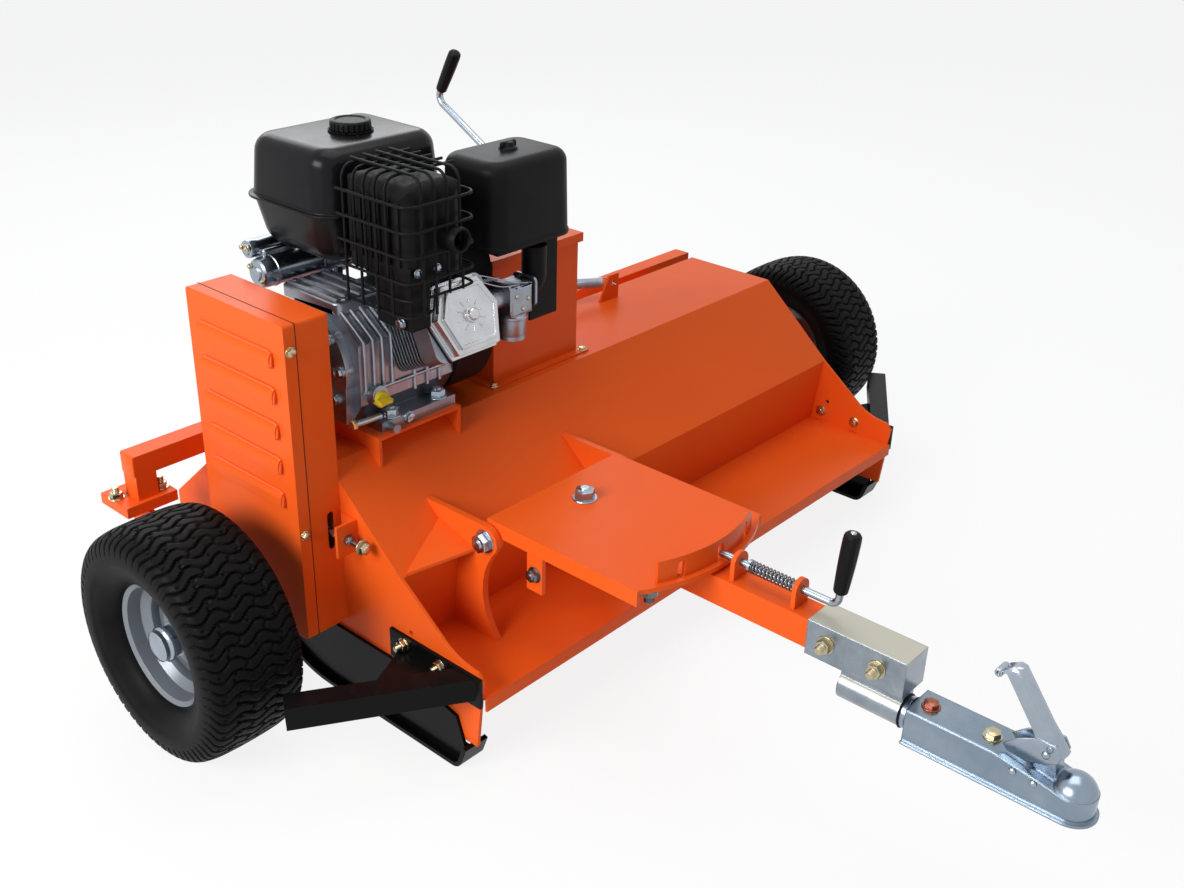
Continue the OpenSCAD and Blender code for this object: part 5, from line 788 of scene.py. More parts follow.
nut_pattern = weld([hex_bar(0.82, 0.13, 0.14), lathe(washer, 24), lathe(thread(1), 14)])
stud_pattern = weld([hex_bar(0.82, 0.13, 0.14), lathe(washer, 24), lathe(thread(7), 14)])
head_face = [(0.0, 0.70), (0.62, 0.70), (0.70, 0.76), (0.62, 0.80), (0.0, 0.80)]
head_pattern = weld([hex_bar(0.64, 0.13, 0.12), lathe(washer, 24), lathe(head_face, 18)])
rivet_pattern = lathe([(0.0, 0.0), (1.0, 0.0), (0.94, 0.30), (0.70, 0.55), (0.36, 0.68), (0.0, 0.72)], 18)
print("patterns made")

# %% [markdown]
# ### Places
# Bolts come in pairs on the two sides of a bracket, or at the four corners of a foot, so two helpers write
# those places out. `fasten` welds all copies of one kind into one piece. Each copy is turned a little further
# than the last, because no two nuts on a real machine stop at the same angle.

# %% Fasten
RIGHT, LEFT, FRONT, UP, DOWN = (-1, 0, 0), (1, 0, 0), (0, -1, 0), (0, 0, 1), (0, 0, -1)
TWIST = 0.35


def pairs(middle, out, rows, size, facing=1):
    return [((middle + s * out, y, z), (s * facing, 0, 0), size) for y, z in rows for s in (-1, 1)]


def corners(across_x, along_y, z, size):
    return [((x, y, z), UP, size) for x in across_x for y in along_y]


def again(pattern, place, axis, size, twist):
    copy = pattern.copy()
    copy.data = pattern.data.copy()
    scene.collection.objects.link(copy)
    return put(copy, place, axis, size, twist)


def fasten(name, pattern, spots_at, finish, body="mower_deck"):
    copies = [again(pattern, place, axis, size, TWIST * k) for k, (place, axis, size) in enumerate(spots_at)]
    return seat(weld(copies), name, finish, body)


print("fasten ready")

# %% Deck, hitch and coupler
bracket_rows = [(y, 0.174) for y in (0.191, 0.104)]
fasten("deflector_nuts", stud_pattern, pairs(0, 0.635, bracket_rows, 0.0105), yellow_zinc)
fasten("deflector_bolts", head_pattern, pairs(0, 0.623, bracket_rows, 0.0100, -1), yellow_zinc)
fasten(
    "guard_screws", head_pattern, [((-0.702, 0.344, z), FRONT, 0.0078) for z in (0.670, 0.3482)], yellow_zinc
)
fasten("hinge_nuts", nut_pattern, pairs(TONGUE_X, 0.1755, [(0.136, 0.337)], 0.0172), zinc)
fasten("plate_pivot_nut", nut_pattern, [((TONGUE_X, 0.074, 0.372), UP, 0.0180)], zinc, "hitch")
sleeve_rows = [(y, 0.332) for y in (-0.428, -0.514)]
fasten("sleeve_bolts", stud_pattern, pairs(TONGUE_X, 0.0302, sleeve_rows, 0.0120), yellow_zinc, "tongue")
fasten("coupler_rear_bolt", head_pattern, [((TONGUE_X, -0.591, 0.290), UP, 0.0116)], bronzed, "coupler")
fasten("coupler_front_bolt", head_pattern, [((TONGUE_X, -0.686, 0.290), UP, 0.0116)], yellow_zinc, "coupler")
rivet_rows = [(-0.7329, 0.2756), (-0.7635, 0.2716)]
fasten("coupler_rivets", rivet_pattern, pairs(TONGUE_X, 0.0322, rivet_rows, 0.0055), zinc, "coupler")
fasten("stop_nuts", nut_pattern, pairs(TONGUE_X, 0.1535, [(0.044, 0.3029)], 0.0115), spring_wire, "hitch")
fasten(
    "corner_studs", stud_pattern, [((x, -0.172, 0.364), DOWN, 0.0150) for x in (-0.452, -0.198)], spring_wire,
    "hitch",
)
fasten(
    "tension_stud_nut", nut_pattern, [((-0.650, 0.266, 0.336), FRONT, 0.0115)], yellow_zinc, "belt_tensioner"
)
fasten("foot_bolt_heads", nut_pattern, corners((-0.495, -0.390), (0.3655, 0.5675), 0.488, 0.0148), zinc)
fasten("box_flange_bolts", head_pattern, corners((-0.224, 0.022), (0.393, 0.579), 0.445, 0.0075), yellow_zinc)
print("fastened", len(made))

# %% [markdown]
# ## Grips
# The crank and the lock pin both end in a smooth black grip with long flats, thinner at the neck and swelling
# towards the end. Each grip is turned in twelve steps, and the riveted end of the lock pin's spindle shows at
# the top of its grip.

# %% Grips
GRIP_FLATS = 12


def swelling(length, thin, thick):
    line = [(0.0, 0.0), (thin * 0.80, 0.0), (thin, 0.003)]
    for k in range(1, 10):
        s = k / 10
        line.append((thin + (thick - thin) * math.sin(0.62 * math.pi * s), length * s))
    return line + [
        (thick * 0.95, length - 0.004), (thick * 0.78, length - 0.001), (thick * 0.5, length), (0.0, length)
    ]


lean = math.radians(5)
pin_up = Vector((0, -math.sin(lean), math.cos(lean)))
pin_neck = Vector((TONGUE_X, -0.42395, 0.39778))
pin_grip = lathe(swelling(0.104, 0.0112, 0.0138), GRIP_FLATS, pin_neck + pin_up * 0.0100, pin_up)
seat(pin_grip, "lock_pin_grip", grip_rubber, "lock_pin", (), 20)
fasten("lock_pin_rivet", rivet_pattern, [(pin_neck + pin_up * 0.1138, pin_up, 0.0048)], zinc, "lock_pin")
grip_low, grip_high = (Vector(corner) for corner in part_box("crank_grip"))
screw_up = Vector((0, -0.48481, 0.87462))
crank_grip = lathe(
    swelling(0.092, 0.0106, 0.0126), GRIP_FLATS, (grip_low + grip_high) / 2 - screw_up * 0.046, screw_up
)
seat(crank_grip, "crank_hand_grip", grip_rubber, "crank_grip", ["crank_grip"], 20)
print("grips made")

# %% [markdown]
# ## Engine: tank, cap and air cleaner
# The tank is two pressed shells crimped together on a flange, so it is made as three rounded blocks: a
# crowned upper shell, a pan that tapers and is cut away at the rear, and the thin flange. A subdivided cube
# would be quicker, but it swells everywhere. Bevels keep the sides flat, and each edge gets its own radius.

# %% Blocks
def block(low, high):
    middle = [(a + b) / 2 for a, b in zip(low, high)]
    bpy.ops.mesh.primitive_cube_add(size=1, location=middle)
    piece = bpy.context.object
    piece.scale = [b - a for a, b in zip(low, high)]
    apply_moves()
    return piece


def runs_along(axis):
    return lambda edge: abs((edge.verts[1].co - edge.verts[0].co).normalized()[axis]) > 0.8


def sharp(edge):
    return len(edge.link_faces) == 2 and edge.calc_face_angle(0) > math.radians(60)


upright = runs_along(2)
print("blocks ready")

# %% Fuel tank
tank_low, tank_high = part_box("fuel_tank")
FLANGE, FLANGE_HALF = 0.009, 0.0022
seam_z = tank_high[2] - 0.104
crown_z = tank_high[2] - 0.003
left_x, front_y = tank_low[0] + FLANGE, tank_low[1] + FLANGE
right_x, rear_y = tank_high[0] - FLANGE, tank_high[1] - FLANGE
tank_x, tank_y = (tank_low[0] + tank_high[0]) / 2, (tank_low[1] + tank_high[1]) / 2
shell = block((left_x, front_y, seam_z), (right_x, rear_y, crown_z))
grab(shell, "FACE", at_height(crown_z))
bpy.ops.transform.resize(value=(0.94, 0.94, 1), center_override=(tank_x, tank_y, tank_high[2]))
let_go()
soften(shell, 0.040, 8, upright)
soften(shell, 0.027, 8, at_height(crown_z))
pan = block((left_x, front_y, tank_low[2]), (right_x, rear_y, seam_z))
grab(pan, "VERT", lambda v: v.co.z < seam_z - 0.01 and v.co.y > rear_y - 0.01)
bpy.ops.transform.translate(value=(0, -0.020, 0))
let_go()
grab(pan, "FACE", at_height(tank_low[2]))
bpy.ops.transform.resize(value=(0.92, 0.97, 1), center_override=(tank_x, tank_low[1] + 0.05, tank_low[2]))
let_go()
soften(pan, 0.040, 7, upright)
soften(pan, 0.030, 5, at_height(tank_low[2]))
rim = block(
    (tank_low[0], tank_low[1], seam_z - FLANGE_HALF), (tank_high[0], tank_high[1], seam_z + FLANGE_HALF)
)
soften(rim, 0.050, 7, upright)
soften(rim, 0.0014, 2, sharp)
seat(weld([shell, pan, rim]), "tank_shells", tank_enamel, "mower_deck", ["fuel_tank"])

print("tank shells made")

# %% [markdown]
# ### Fuel cap
# The cap is a moulded disc with grooves for the fingers and a shallow dish on top. The grooves could be cut
# with a boolean. Here every third side of a many-sided cylinder is moved inwards instead, which needs no
# cutters.

# %% Fuel cap
CAP_FLATS, CAP_RADIUS = 72, 0.034
cap_low, cap_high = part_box("fuel_cap")
cap_middle = [(a + b) / 2 for a, b in zip(cap_low, cap_high)]
bpy.ops.mesh.primitive_cylinder_add(
    vertices=CAP_FLATS, radius=CAP_RADIUS, depth=cap_high[2] - cap_low[2], location=cap_middle
)
cap = bpy.context.object
apply_moves()


def grip_flat(face):
    out = face.calc_center_median() - Vector(cap_middle)
    return abs(face.normal.z) < 0.2 and int(round(math.atan2(out.y, out.x) / TURN * CAP_FLATS - 0.5)) % 3 == 0


soften(cap, 0.004, 3, at_height(cap_high[2]))
grab(cap, "FACE", grip_flat)
bpy.ops.mesh.extrude_region_shrink_fatten(TRANSFORM_OT_shrink_fatten={"value": -0.0016})
let_go()
grab(cap, "FACE", lambda f: f.normal.z > 0.99)
bpy.ops.mesh.inset(thickness=0.005)
bpy.ops.mesh.extrude_region_move(TRANSFORM_OT_translate={"value": (0, 0, -0.0015)})
let_go()
seat(cap, "tank_cap", black_plastic, "fuel_cap", ["fuel_cap"])
print("cap made")

# %% [markdown]
# ### Air cleaner
# The cleaner has a deep moulded cover with wide radii, a skirt round its foot and a wing knob on top. It is
# built from blocks as the tank is, and its lid is drawn in a little, as a mould needs.

# %% Air cleaner
def eased(low, high, width, steps):
    return soften(block(low, high), width, steps, sharp)


box_low, box_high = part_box("air_cleaner_cover")
box_low = (box_low[0] - 0.012, box_low[1] - 0.006, box_low[2])
box_high = (box_high[0] + 0.006, box_high[1] + 0.004, box_high[2] + 0.006)
lid_z = box_high[2] - 0.014
box_x, box_y = (box_low[0] + box_high[0]) / 2, (box_low[1] + box_high[1]) / 2
SKIRT_OUT, SKIRT_TALL = 0.0015, 0.009
cover = block((box_low[0], box_low[1], box_low[2]), (box_high[0], box_high[1], lid_z))
grab(cover, "FACE", at_height(lid_z))
bpy.ops.transform.resize(value=(0.965, 0.965, 1), center_override=(box_x, box_y, lid_z))
let_go()
soften(cover, 0.036, 8, upright)
soften(cover, 0.022, 7, at_height(lid_z))
skirt_low = (box_low[0] - SKIRT_OUT, box_low[1] - SKIRT_OUT, box_low[2])
skirt = block(skirt_low, (box_high[0] + SKIRT_OUT, box_high[1] + SKIRT_OUT, box_low[2] + SKIRT_TALL))
soften(skirt, 0.037, 8, upright)
soften(skirt, 0.002, 2, sharp)
knob_at = (box_low[0] + (box_high[0] - box_low[0]) * 0.52, box_y)
WING_HALF, WING_THIN = 0.018, 0.0035
boss_line = [(0, 0), (0.016, 0), (0.016, 0.004), (0.011, 0.006), (0.009, 0.013), (0, 0.014)]
boss = lathe(boss_line, 24, (*knob_at, lid_z - 0.001))
wing_low = (knob_at[0] - WING_HALF, knob_at[1] - WING_THIN, lid_z + 0.002)
wing = eased(wing_low, (knob_at[0] + WING_HALF, knob_at[1] + WING_THIN, lid_z + 0.0135), 0.003, 3)
seat(
    weld([cover, skirt, boss, wing]), "cleaner_cover", black_plastic, "mower_deck",
    ["air_cleaner_cover"],
)
print("cleaner made")

# %% [markdown]
# ## Engine: valve cover and crankcase
# The valve cover is a pressed dome on a six-sided flange, so it is drawn as one face and then raised, inset
# and raised again, as a press would draw it. A bevel modifier rounds every edge sharper than 30 degrees at
# once. Small ribs and the bolt in the middle are added before the whole is turned to the barrel's slope.

# %% Press tools
def sheet_face(outline):
    piece = strand([(x, y, 0) for x, y in outline])
    bpy.ops.mesh.select_all(action="SELECT")
    bpy.ops.mesh.edge_face_add()
    bpy.ops.mesh.select_mode(type="FACE")
    bpy.ops.mesh.select_all(action="SELECT")
    return piece


def raise_face(height):
    bpy.ops.mesh.extrude_region_move(TRANSFORM_OT_translate={"value": (0, 0, height)})


def bevelled(piece, width, steps):
    edge = piece.modifiers.new("edge", "BEVEL")
    edge.width = width
    edge.segments = steps
    edge.limit_method = "ANGLE"
    edge.angle_limit = math.radians(30)
    only(piece)
    bpy.ops.object.modifier_apply(modifier="edge")
    return piece


print("press tools ready")

# %% Valve cover
barrel_lean = math.radians(25)
barrel_up = Vector((0, -math.cos(barrel_lean), math.sin(barrel_lean)))
barrel_side = Vector((0, math.sin(barrel_lean), math.cos(barrel_lean)))
barrel_turn = Matrix((Vector((1, 0, 0)), barrel_side, barrel_up)).transposed().to_4x4()
head_top = Vector((-0.422, 0.471, 0.576)) + barrel_up * 0.224
six_sides = [(-0.5, 0.06), (-0.3, 0.5), (0.3, 0.5), (0.5, 0.06), (0.34, -0.5), (-0.34, -0.5)]
COVER_WIDE, COVER_TALL = 0.144, 0.124
valve_dome = sheet_face([(x * COVER_WIDE, y * COVER_TALL) for x, y in six_sides])
raise_face(0.009)
bpy.ops.mesh.inset(thickness=0.0055)
raise_face(0.016)
bpy.ops.mesh.inset(thickness=0.008)
raise_face(0.007)
bpy.ops.mesh.inset(thickness=0.006)
raise_face(-0.0018)
let_go()
bevelled(tidy_mesh(valve_dome), 0.0032, 4)
RIB_COUNT, RIB_INNER, RIB_OUTER, RIB_Z = 10, 0.018, 0.030, 0.0304
ribs = []
for k in range(RIB_COUNT):
    a = TURN * k / RIB_COUNT + 0.2
    start = Vector((math.cos(a) * RIB_INNER, math.sin(a) * RIB_INNER, RIB_Z))
    end = Vector((math.cos(a) * RIB_OUTER, math.sin(a) * RIB_OUTER * 0.9, RIB_Z))
    ribs.append(rod([start, (start + end) / 2 + Vector((0, 0, 0.0006)), end], 0.0011, 2))
bolt_line = [(0, 0.030), (0.0135, 0.030), (0.0130, 0.033), (0.0105, 0.034), (0.0098, 0.0395), (0.0080, 0.0410)]
dome_bolt = lathe([*bolt_line, (0, 0.0415)], 24)
valve_dome = weld([valve_dome, *ribs, dome_bolt])
valve_dome.matrix_world = Matrix.Translation(head_top) @ barrel_turn
seat(valve_dome, "rocker_cover", smooth_alloy, "mower_deck", ["valve_cover"])
print("valve cover made")

# %% Gasket
GASKET_OUT = 0.003
gasket = sheet_face([(x * (COVER_WIDE + GASKET_OUT), y * (COVER_TALL + GASKET_OUT)) for x, y in six_sides])
raise_face(0.0016)
let_go()
gasket.matrix_world = Matrix.Translation(head_top + barrel_up * 0.0001) @ barrel_turn
seat(tidy_mesh(gasket), "rocker_gasket", black_plastic, "mower_deck")
print("gasket made")

# %% [markdown]
# ### Crankcase
# The crankcase is a casting: ribs run down its shoulder, bosses with bolts stand round the side cover, and a
# drain pipe leaves its foot. Sculpting would give the softest joins, but rods sunk into the casting look much
# the same from outside, and one number moves them.

# %% Crankcase ribs and bosses
CASE_FRONT = 0.3640
BOLT_RING_R = 0.0806
shaft_at = Vector((-0.572, 0.471, 0.576))
case_work = []
for k in range(4):
    x = -0.546 + 0.019 * k
    rib_line = [(x, CASE_FRONT, 0.548), (x, CASE_FRONT, 0.624), (x, 0.3720, 0.640), (x, 0.4280, 0.6790)]
    case_work.append(rod(flowing(rib_line, 4), 0.0042, 3))
for x in (-0.440, -0.412, -0.384):
    case_work.append(
        rod(flowing([(x, CASE_FRONT, 0.520), (x, CASE_FRONT, 0.560), (x, 0.3660, 0.585)], 4), 0.0036, 3)
    )
case_work.append(rod([(-0.553, 0.3645, 0.545), (-0.470, 0.3645, 0.545), (-0.372, 0.3645, 0.545)], 0.0040, 3))
boss_profile = [(0, 0), (0.0125, 0), (0.0120, 0.006), (0.0105, 0.016), (0.0102, 0.021), (0, 0.021)]
bolt_ring = []
for k in range(9):
    a = math.radians(15 + 40 * k)
    spot = shaft_at + Vector((0, math.cos(a), math.sin(a))) * BOLT_RING_R
    case_work.append(lathe(boss_profile, 18, spot + Vector((0.016, 0, 0)), RIGHT))
    bolt_ring.append((spot + Vector((-0.005, 0, 0)), RIGHT, 0.0088))
neck_line = [(0, 0), (0.019, 0), (0.0185, 0.012), (0.0160, 0.016), (0.0160, 0.022), (0, 0.022)]
case_work.append(lathe(neck_line, 24, (-0.527, 0.371, 0.536), (0, -0.985, 0.17)))
seat(weld(case_work), "crankcase_ribs", cast_alloy, "mower_deck")
fasten("crankcase_bolts", head_pattern, bolt_ring, zinc)
print("ribs and bosses made")

# %% Drain
fasten("sump_plug", head_pattern, [((-0.469, 0.349, 0.480), FRONT, 0.0092)], zinc)
drain_end = (-0.584, 0.349, 0.506)
drain = rod([(-0.530, 0.350, 0.503), (-0.560, 0.3495, 0.504), drain_end], 0.0062, 4)
drain_nut = put(hex_bar(0.9, 0, 0.12), drain_end, RIGHT, 0.0085)
seat(drain, "sump_drain_pipe", zinc, "mower_deck")
seat(drain_nut, "sump_drain_cap", brass, "mower_deck")
print("drain made")

# %% [markdown]
# ## Engine: starter
# The electric starter and its solenoid are turned cans with a flange, a stepped end cap and terminal nuts. Both
# come off the lathe as one profile each, and two rounded blocks join them to each other and to the engine.

# %% Starter
starter_at = Vector((-0.585, 0.584, 0.705))
can = [
    (0, -0.004), (0.0115, -0.004), (0.0125, -0.001), (0.0215, 0.0), (0.0245, 0.003), (0.0262, 0.012),
    (0.0262, 0.026), (0.0275, 0.027), (0.0275, 0.031), (0.0262, 0.032), (0.0262, 0.120), (0.0280, 0.122),
    (0.0280, 0.128), (0.0300, 0.132), (0.0330, 0.150), (0.0330, 0.160), (0.0350, 0.162), (0.0350, 0.170),
    (0.0300, 0.174), (0.0290, 0.234), (0, 0.234),
]
starter = [lathe(can, 36, starter_at, LEFT)]
coil_at = starter_at + Vector((0.0, 0.026, 0.036))
coil_can = [
    (0, -0.002), (0.0090, -0.002), (0.0098, 0.001), (0.0150, 0.002), (0.0158, 0.006), (0.0158, 0.018),
    (0.0150, 0.020), (0.0150, 0.084), (0.0158, 0.086), (0.0158, 0.092), (0, 0.092),
]
starter.append(lathe(coil_can, 28, coil_at, LEFT))
bridge = eased((-0.568, 0.584, 0.700), (-0.506, 0.612, 0.742), 0.004, 3)
stay = eased((-0.447, 0.556, 0.640), (-0.427, 0.600, 0.706), 0.003, 2)
seat(weld([*starter, bridge, stay]), "starter_can", zinc, "mower_deck", ["starter_motor"])
terminals = [
    (starter_at + Vector((-0.001, y, z)), RIGHT, 0.0042) for y, z in ((-0.016, -0.010), (0.016, 0.010))
]
terminals += [(coil_at + Vector((-0.002, y, 0.004)), RIGHT, 0.0045) for y in (-0.0065, 0.0065)]
fasten("starter_bolts", nut_pattern, terminals, yellow_zinc)
print("starter made")

# %% [markdown]
# ## Engine: carburettor and linkage
# The carburettor hangs on the inlet: a bowl with a bead and a drain screw, a rounded body and two flanges. A
# throttle plate lies on top, and two thin rods and a light spring run from it to the governor arm. The body's
# own places are measured from its middle, so each is a small number that can be checked by eye.

# %% Carburettor
crosswise = runs_along(0)
carb_at = Vector((-0.272, 0.296, 0.655))


def carb_block(low, high):
    return block(carb_at + Vector(low), carb_at + Vector(high))


bowl = [
    (0, -0.0790), (0.0030, -0.0790), (0.0036, -0.0760), (0.0060, -0.0745), (0.0066, -0.0710), (0.0150, -0.0700),
    (0.0205, -0.0670), (0.0236, -0.0600), (0.0240, -0.0330), (0.0262, -0.0315), (0.0262, -0.0265),
    (0.0240, -0.0250), (0.0240, -0.0215), (0, -0.0215),
]
carb = [lathe(bowl, 32, carb_at)]
carb.append(soften(carb_block((-0.0262, -0.0235, -0.0225), (0.0262, 0.0235, 0.0315)), 0.0045, 3, sharp))
for x in (-0.0330, 0.0285):
    flange = carb_block((x, -0.027, -0.016), (x + 0.0045, 0.027, 0.038))
    carb.append(soften(flange, 0.010, 5, crosswise))
seat(weld(carb), "carburettor_body", cast_alloy, "mower_deck")
print("carburettor made")


# %% Throttle linkage
def pull_rod(points):
    return rod(flowing(points, 6), 0.0012, 2)


lever = carb_block((-0.016, -0.030, 0.028), (0.020, 0.004, 0.0305))
soften(lever, 0.006, 4, upright)
screw_spots = ((-0.014, 0.014), (0.015, 0.004), (0.002, -0.012))
screws = [(carb_at + Vector((x, -0.0235, z)), FRONT, 0.0042) for x, z in screw_spots]
low_pull = [carb_at + Vector((-0.008, -0.024, 0.034)), carb_at + Vector((-0.050, -0.018, 0.040))]
high_pull = [carb_at + Vector((0.010, -0.026, 0.034)), carb_at + Vector((-0.030, -0.032, 0.046))]
pull_rods = [
    pull_rod([*low_pull, (-0.372, 0.300, 0.716), (-0.392, 0.318, 0.712)]),
    pull_rod([*high_pull, (-0.360, 0.286, 0.722), (-0.386, 0.300, 0.724)]),
    rod(coil_line((-0.352, 0.292, 0.707), (1, 0.05, -0.10), (0, 0, 1), 0.0032, 0.046, 14, 10, 0.0), 0.0005, 1),
]
seat(weld([lever, *pull_rods]), "throttle_linkage", zinc, "mower_deck")
fasten("carburettor_screws", rivet_pattern, screws, yellow_zinc)
arm_plate = block((-0.396, 0.292, 0.688), (-0.392, 0.330, 0.742))
soften(arm_plate, 0.010, 4, crosswise)
seat(arm_plate, "governor_arm", heat_black, "mower_deck")
print("linkage made")

# %% [markdown]
# ## Engine: top plate
# A ribbed alloy plate closes the top of the crankcase. It is a block with rounded corners, and its ribs are
# rods that lie half in its top face.

# %% Top plate
TOP_Z = 0.6885
top_plate = block((-0.556, 0.414, 0.668), (-0.452, 0.562, TOP_Z))
soften(top_plate, 0.012, 4, upright)
soften(top_plate, 0.004, 3, at_height(TOP_Z))
top_ribs = [top_plate]
for k in range(4):
    x = -0.545 + 0.024 * k
    top_ribs.append(rod([(x, 0.424, TOP_Z), (x, 0.480, TOP_Z + 0.0005), (x, 0.552, TOP_Z)], 0.0046, 3))
seat(weld(top_ribs), "crankcase_top", cast_alloy, "mower_deck")
fasten("crankcase_top_bolts", head_pattern, corners((-0.5335, -0.464), (0.426, 0.550), 0.687, 0.0062), zinc)
print("top plate made")

# %% [markdown]
# ## Engine: muffler outlet and cage
# The muffler has a short outlet in its front face. The wire cage round it carries on below the can with two
# more hoops, which stop short of the valve cover, and upright wires tie them to the cage. Each wire is one
# line with a round section, because the real ones are bent first and welded afterwards.

# %% Muffler outlet and lower hoops
CAGE_X, CAGE_Y, CAGE_R = -0.5505, 0.2405, 0.0024
WIRE_OUT = 0.003
LONG_DROP, SHORT_DROP = (0.768, 0.736, 0.706), (0.768, 0.750, 0.734)


def hoop(corners, height):
    return rod(flowing([(x, y, height) for x, y in corners], 5), CAGE_R, 2)


def drop_wire(x, y, levels):
    return rod([(x, y, z) for z in levels], CAGE_R, 2)


outlet_line = [
    (0.0150, -0.016), (0.0205, -0.016), (0.0210, 0.0), (0.0210, 0.024), (0.0195, 0.027), (0.0165, 0.027)
]
outlet = lathe([*outlet_line, (0.0150, 0.024), (0.0150, -0.016)], 32, (-0.455, 0.251, 0.818), FRONT)
cage_bend = [(CAGE_X, 0.300), (CAGE_X, 0.258), (CAGE_X + 0.016, CAGE_Y)]
right_bend = [(-0.480, CAGE_Y), (-0.428, CAGE_Y), (-0.4115, 0.256), (-0.4115, 0.330)]
hoops = [
    hoop([(CAGE_X, 0.400), *cage_bend, *right_bend], 0.736),
    hoop([(CAGE_X, 0.396), *cage_bend, (-0.516, CAGE_Y), (-0.498, 0.250)], 0.708),
]
hoops += [drop_wire(x, CAGE_Y - WIRE_OUT, LONG_DROP) for x in (-0.524, -0.498)]
hoops += [drop_wire(x, CAGE_Y - WIRE_OUT, SHORT_DROP) for x in (-0.470, -0.442)]
hoops += [drop_wire(CAGE_X - WIRE_OUT, y, LONG_DROP) for y in (0.276, 0.312, 0.348, 0.384)]
seat(weld([outlet, *hoops]), "muffler_cage_foot", heat_black, "mower_deck")
fasten(
    "muffler_bolts", head_pattern,
    [
        ((-0.5405, 0.274, 0.692), RIGHT, 0.0080), ((-0.524, 0.2505, 0.775), FRONT, 0.0062),
        ((-0.484, 0.2505, 0.775), FRONT, 0.0062),
    ],
    zinc, "mower_deck",
)
print("muffler dressed")

# %% [markdown]
# ## Belt guard
# The belt guard is a tray hooked on a back plate, and the gap where they meet lies in shade; that dark line
# round it is a thin black rod, a painted shadow. Each louvre has a rounded ridge over its mouth, whose paler
# edge colour is a painted highlight. Pressing the ridge out of the sheet would mean a finer mesh for the whole
# guard, so it is one thin bent rod that lies on the sheet.

# %% Guard seam shadow line
SEAM_X = -0.691
seam_line = [
    (0.3440, 0.150), (0.3440, 0.430), (0.3440, 0.7138), (0.3450, 0.7140), (0.470, 0.7140), (0.596, 0.7140)
]
# The thin black rod is a painted shadow: it stands for the shaded gap where the tray meets its back plate.
seam_shadow_rod = rod([(SEAM_X, y, z) for y, z in seam_line], 0.0007, 2)
seat(seam_shadow_rod, "guard_seam_shadow", heat_black, "mower_deck")
print("seam made")

# %% Louvre ridges
LOUVRE_X, LOUVRE_Y0, LOUVRE_Y1 = -0.7135, 0.3755, 0.5665
ridge_end = [(-0.005, 0, -0.011), (-0.003, 0, 0.002), (-0.001, 0.002, 0.009), (0, 0.008, 0.0115)]
ridges = []
for z in (0.652, 0.591, 0.530, 0.469, 0.408):
    near_end = [(LOUVRE_X + x, LOUVRE_Y0 + y, z + lift) for x, y, lift in ridge_end]
    far_end = [(x, LOUVRE_Y0 + LOUVRE_Y1 - y, height) for x, y, height in reversed(near_end)]
    ridges.append(rod(near_end + far_end, 0.0032, 4))
# The pressed paint's pale edge colour paints a highlight along these ridges.
seat(weld(ridges), "louvre_ridges", pressed_paint, "mower_deck")
print("ridges made:", len(ridges))

# %% [markdown]
# ## Frame ends and feet
# The cross tube of the wheel frame is capped at both ends with a thin plate, and its feet are bolted down. The
# caps are small blocks with eased edges, and the nuts are copies of the pattern with the long stud.

# %% Frame ends and feet
TUBE_END, CAP_HALF = 0.7832, 0.0024
caps = []
for side in (-1, 1):
    x = side * TUBE_END
    caps.append(eased((x - CAP_HALF, 0.7144, 0.3464), (x + CAP_HALF, 0.7536, 0.3856), 0.0018, 2))
seat(weld(caps), "frame_end_caps", orange_paint, "wheel_frame")
FOOT_X, FOOT_Z = 0.763, 0.300
foot_nuts = []
for side in (-1, 1):
    x = side * FOOT_X
    foot_nuts += [
        ((x + side * 0.040, 0.754, FOOT_Z), UP, 0.0118), ((x - side * 0.036, 0.734, FOOT_Z), UP, 0.0118)
    ]
fasten("frame_foot_nuts", stud_pattern, foot_nuts, yellow_zinc, "wheel_frame")
print("caps and nuts made:", len(caps), len(foot_nuts))

# %% [markdown]
# ## Coupler lever
# The coupler's latch lever is a folded channel with a rounded back and a hooked tip. Its section is drawn as
# an arc, drawn out along the arm in a few stages that narrow away from the pivot, and given its wall by a
# solidify modifier. Two flat cheeks hold it at the pivot, and its tip ends in a small roll.

# %% Lever arm
lever_foot = Vector((TONGUE_X, -0.776, 0.318))
lever_along = Vector((0, 0.596, 0.803))
lever_under = Vector((0, 0.803, -0.596))
lever_turn = Matrix((Vector((1, 0, 0)), lever_under, lever_along)).transposed().to_4x4()
arch = [(-0.0130, 0.0130), (-0.0130, 0.0010), (-0.0118, -0.0040), (-0.0080, -0.0070), (0, -0.0082)]
arch += [(-x, y) for x, y in reversed(arch[:-1])]
arm = strand([(x * 1.12, y * 1.25, -0.010) for x, y in arch])
stages = [
    (0.020, 0.0, 1.0), (0.025, 0.0, 0.86), (0.030, 0.0, 0.98), (0.036, 0.0, 0.98), (0.018, 0.0, 1.0),
    (0.0045, 0.004, 0.96), (0.0015, 0.010, 0.94), (-0.004, 0.008, 0.90),
]
bpy.ops.mesh.select_mode(type="EDGE")
bpy.ops.mesh.select_all(action="SELECT")
for rise, back, taper in stages:
    bpy.ops.mesh.extrude_edges_move(TRANSFORM_OT_translate={"value": (0, back, rise)})
    bpy.ops.transform.resize(value=(taper, taper, 1))
let_go()
wall = arm.modifiers.new("wall", "SOLIDIFY")
wall.thickness = 0.003
wall.offset = 0
only(arm)
bpy.ops.object.modifier_apply(modifier="wall")
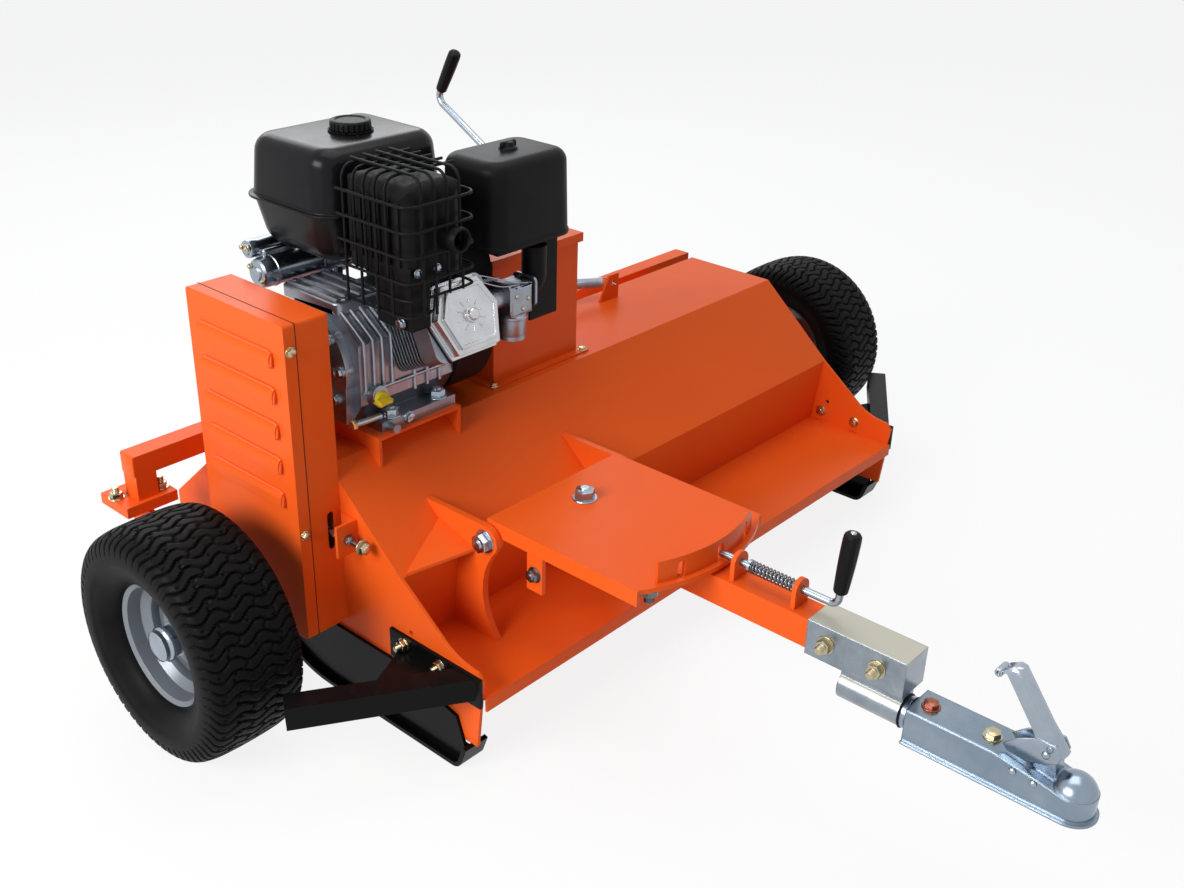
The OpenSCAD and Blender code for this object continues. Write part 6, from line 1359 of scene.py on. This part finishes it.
arm.matrix_world = Matrix.Translation(lever_foot) @ lever_turn
print("lever arm made")

# %% Lever cheeks and tip
cheek_line = [
    (-0.787, 0.318), (-0.778, 0.332), (-0.752, 0.332), (-0.726, 0.318), (-0.706, 0.300), (-0.714, 0.291),
    (-0.742, 0.288), (-0.766, 0.296), (-0.784, 0.306),
]
standing = Matrix(((0, 0, 1), (1, 0, 0), (0, 1, 0))).to_4x4()
cheeks = []
for x in (-0.3415, -0.3115):
    cheek = sheet_face(cheek_line)
    raise_face(0.003)
    let_go()
    bevelled(tidy_mesh(cheek), 0.0008, 2)
    cheek.matrix_world = Matrix.Translation((x, 0, 0)) @ standing
    cheeks.append(cheek)
tip_roll = lathe(
    [
        (0.0030, -0.0125), (0.0056, -0.0125), (0.0060, -0.0115), (0.0060, 0.0115), (0.0056, 0.0125),
        (0.0030, 0.0125), (0.0030, -0.0125),
    ],
    20, (TONGUE_X, -0.681, 0.4010), LEFT,
)
seat(weld([arm, *cheeks, tip_roll]), "latch_lever", zinc, "coupler_lever", ["coupler_lever"], 40)
fasten("latch_rivets", rivet_pattern, pairs(TONGUE_X, 0.0163, [(-0.767, 0.313)], 0.0062), zinc, "coupler_lever")
print("latch lever made")

# %% [markdown]
# ## Swivel seals
# Two dark rubber seals close the swivel behind the coupler. Each is a short ring off the lathe with a rounded
# rim, a little wider than the tube it sits on.

# %% Swivel seals
seal_profile = [
    (0.0225, -0.0016), (0.0262, -0.0016), (0.0272, 0.0), (0.0262, 0.0016), (0.0225, 0.0016), (0.0225, -0.0016)
]
seals = [lathe(seal_profile, 36, (TONGUE_X, y, 0.263), (0, 1, 0)) for y in (-0.5545, -0.5660)]
seat(weld(seals), "swivel_seals", grip_rubber, "tongue")
print("seals made")

# %% [markdown]
# ## Clear the bench
# The patterns have been copied everywhere they are needed, so they are taken away before the count.

# %% Clear the bench
for pattern in (nut_pattern, stud_pattern, head_pattern, rivet_pattern):
    only(pattern)
    bpy.ops.object.delete()
print("pieces", len(made))
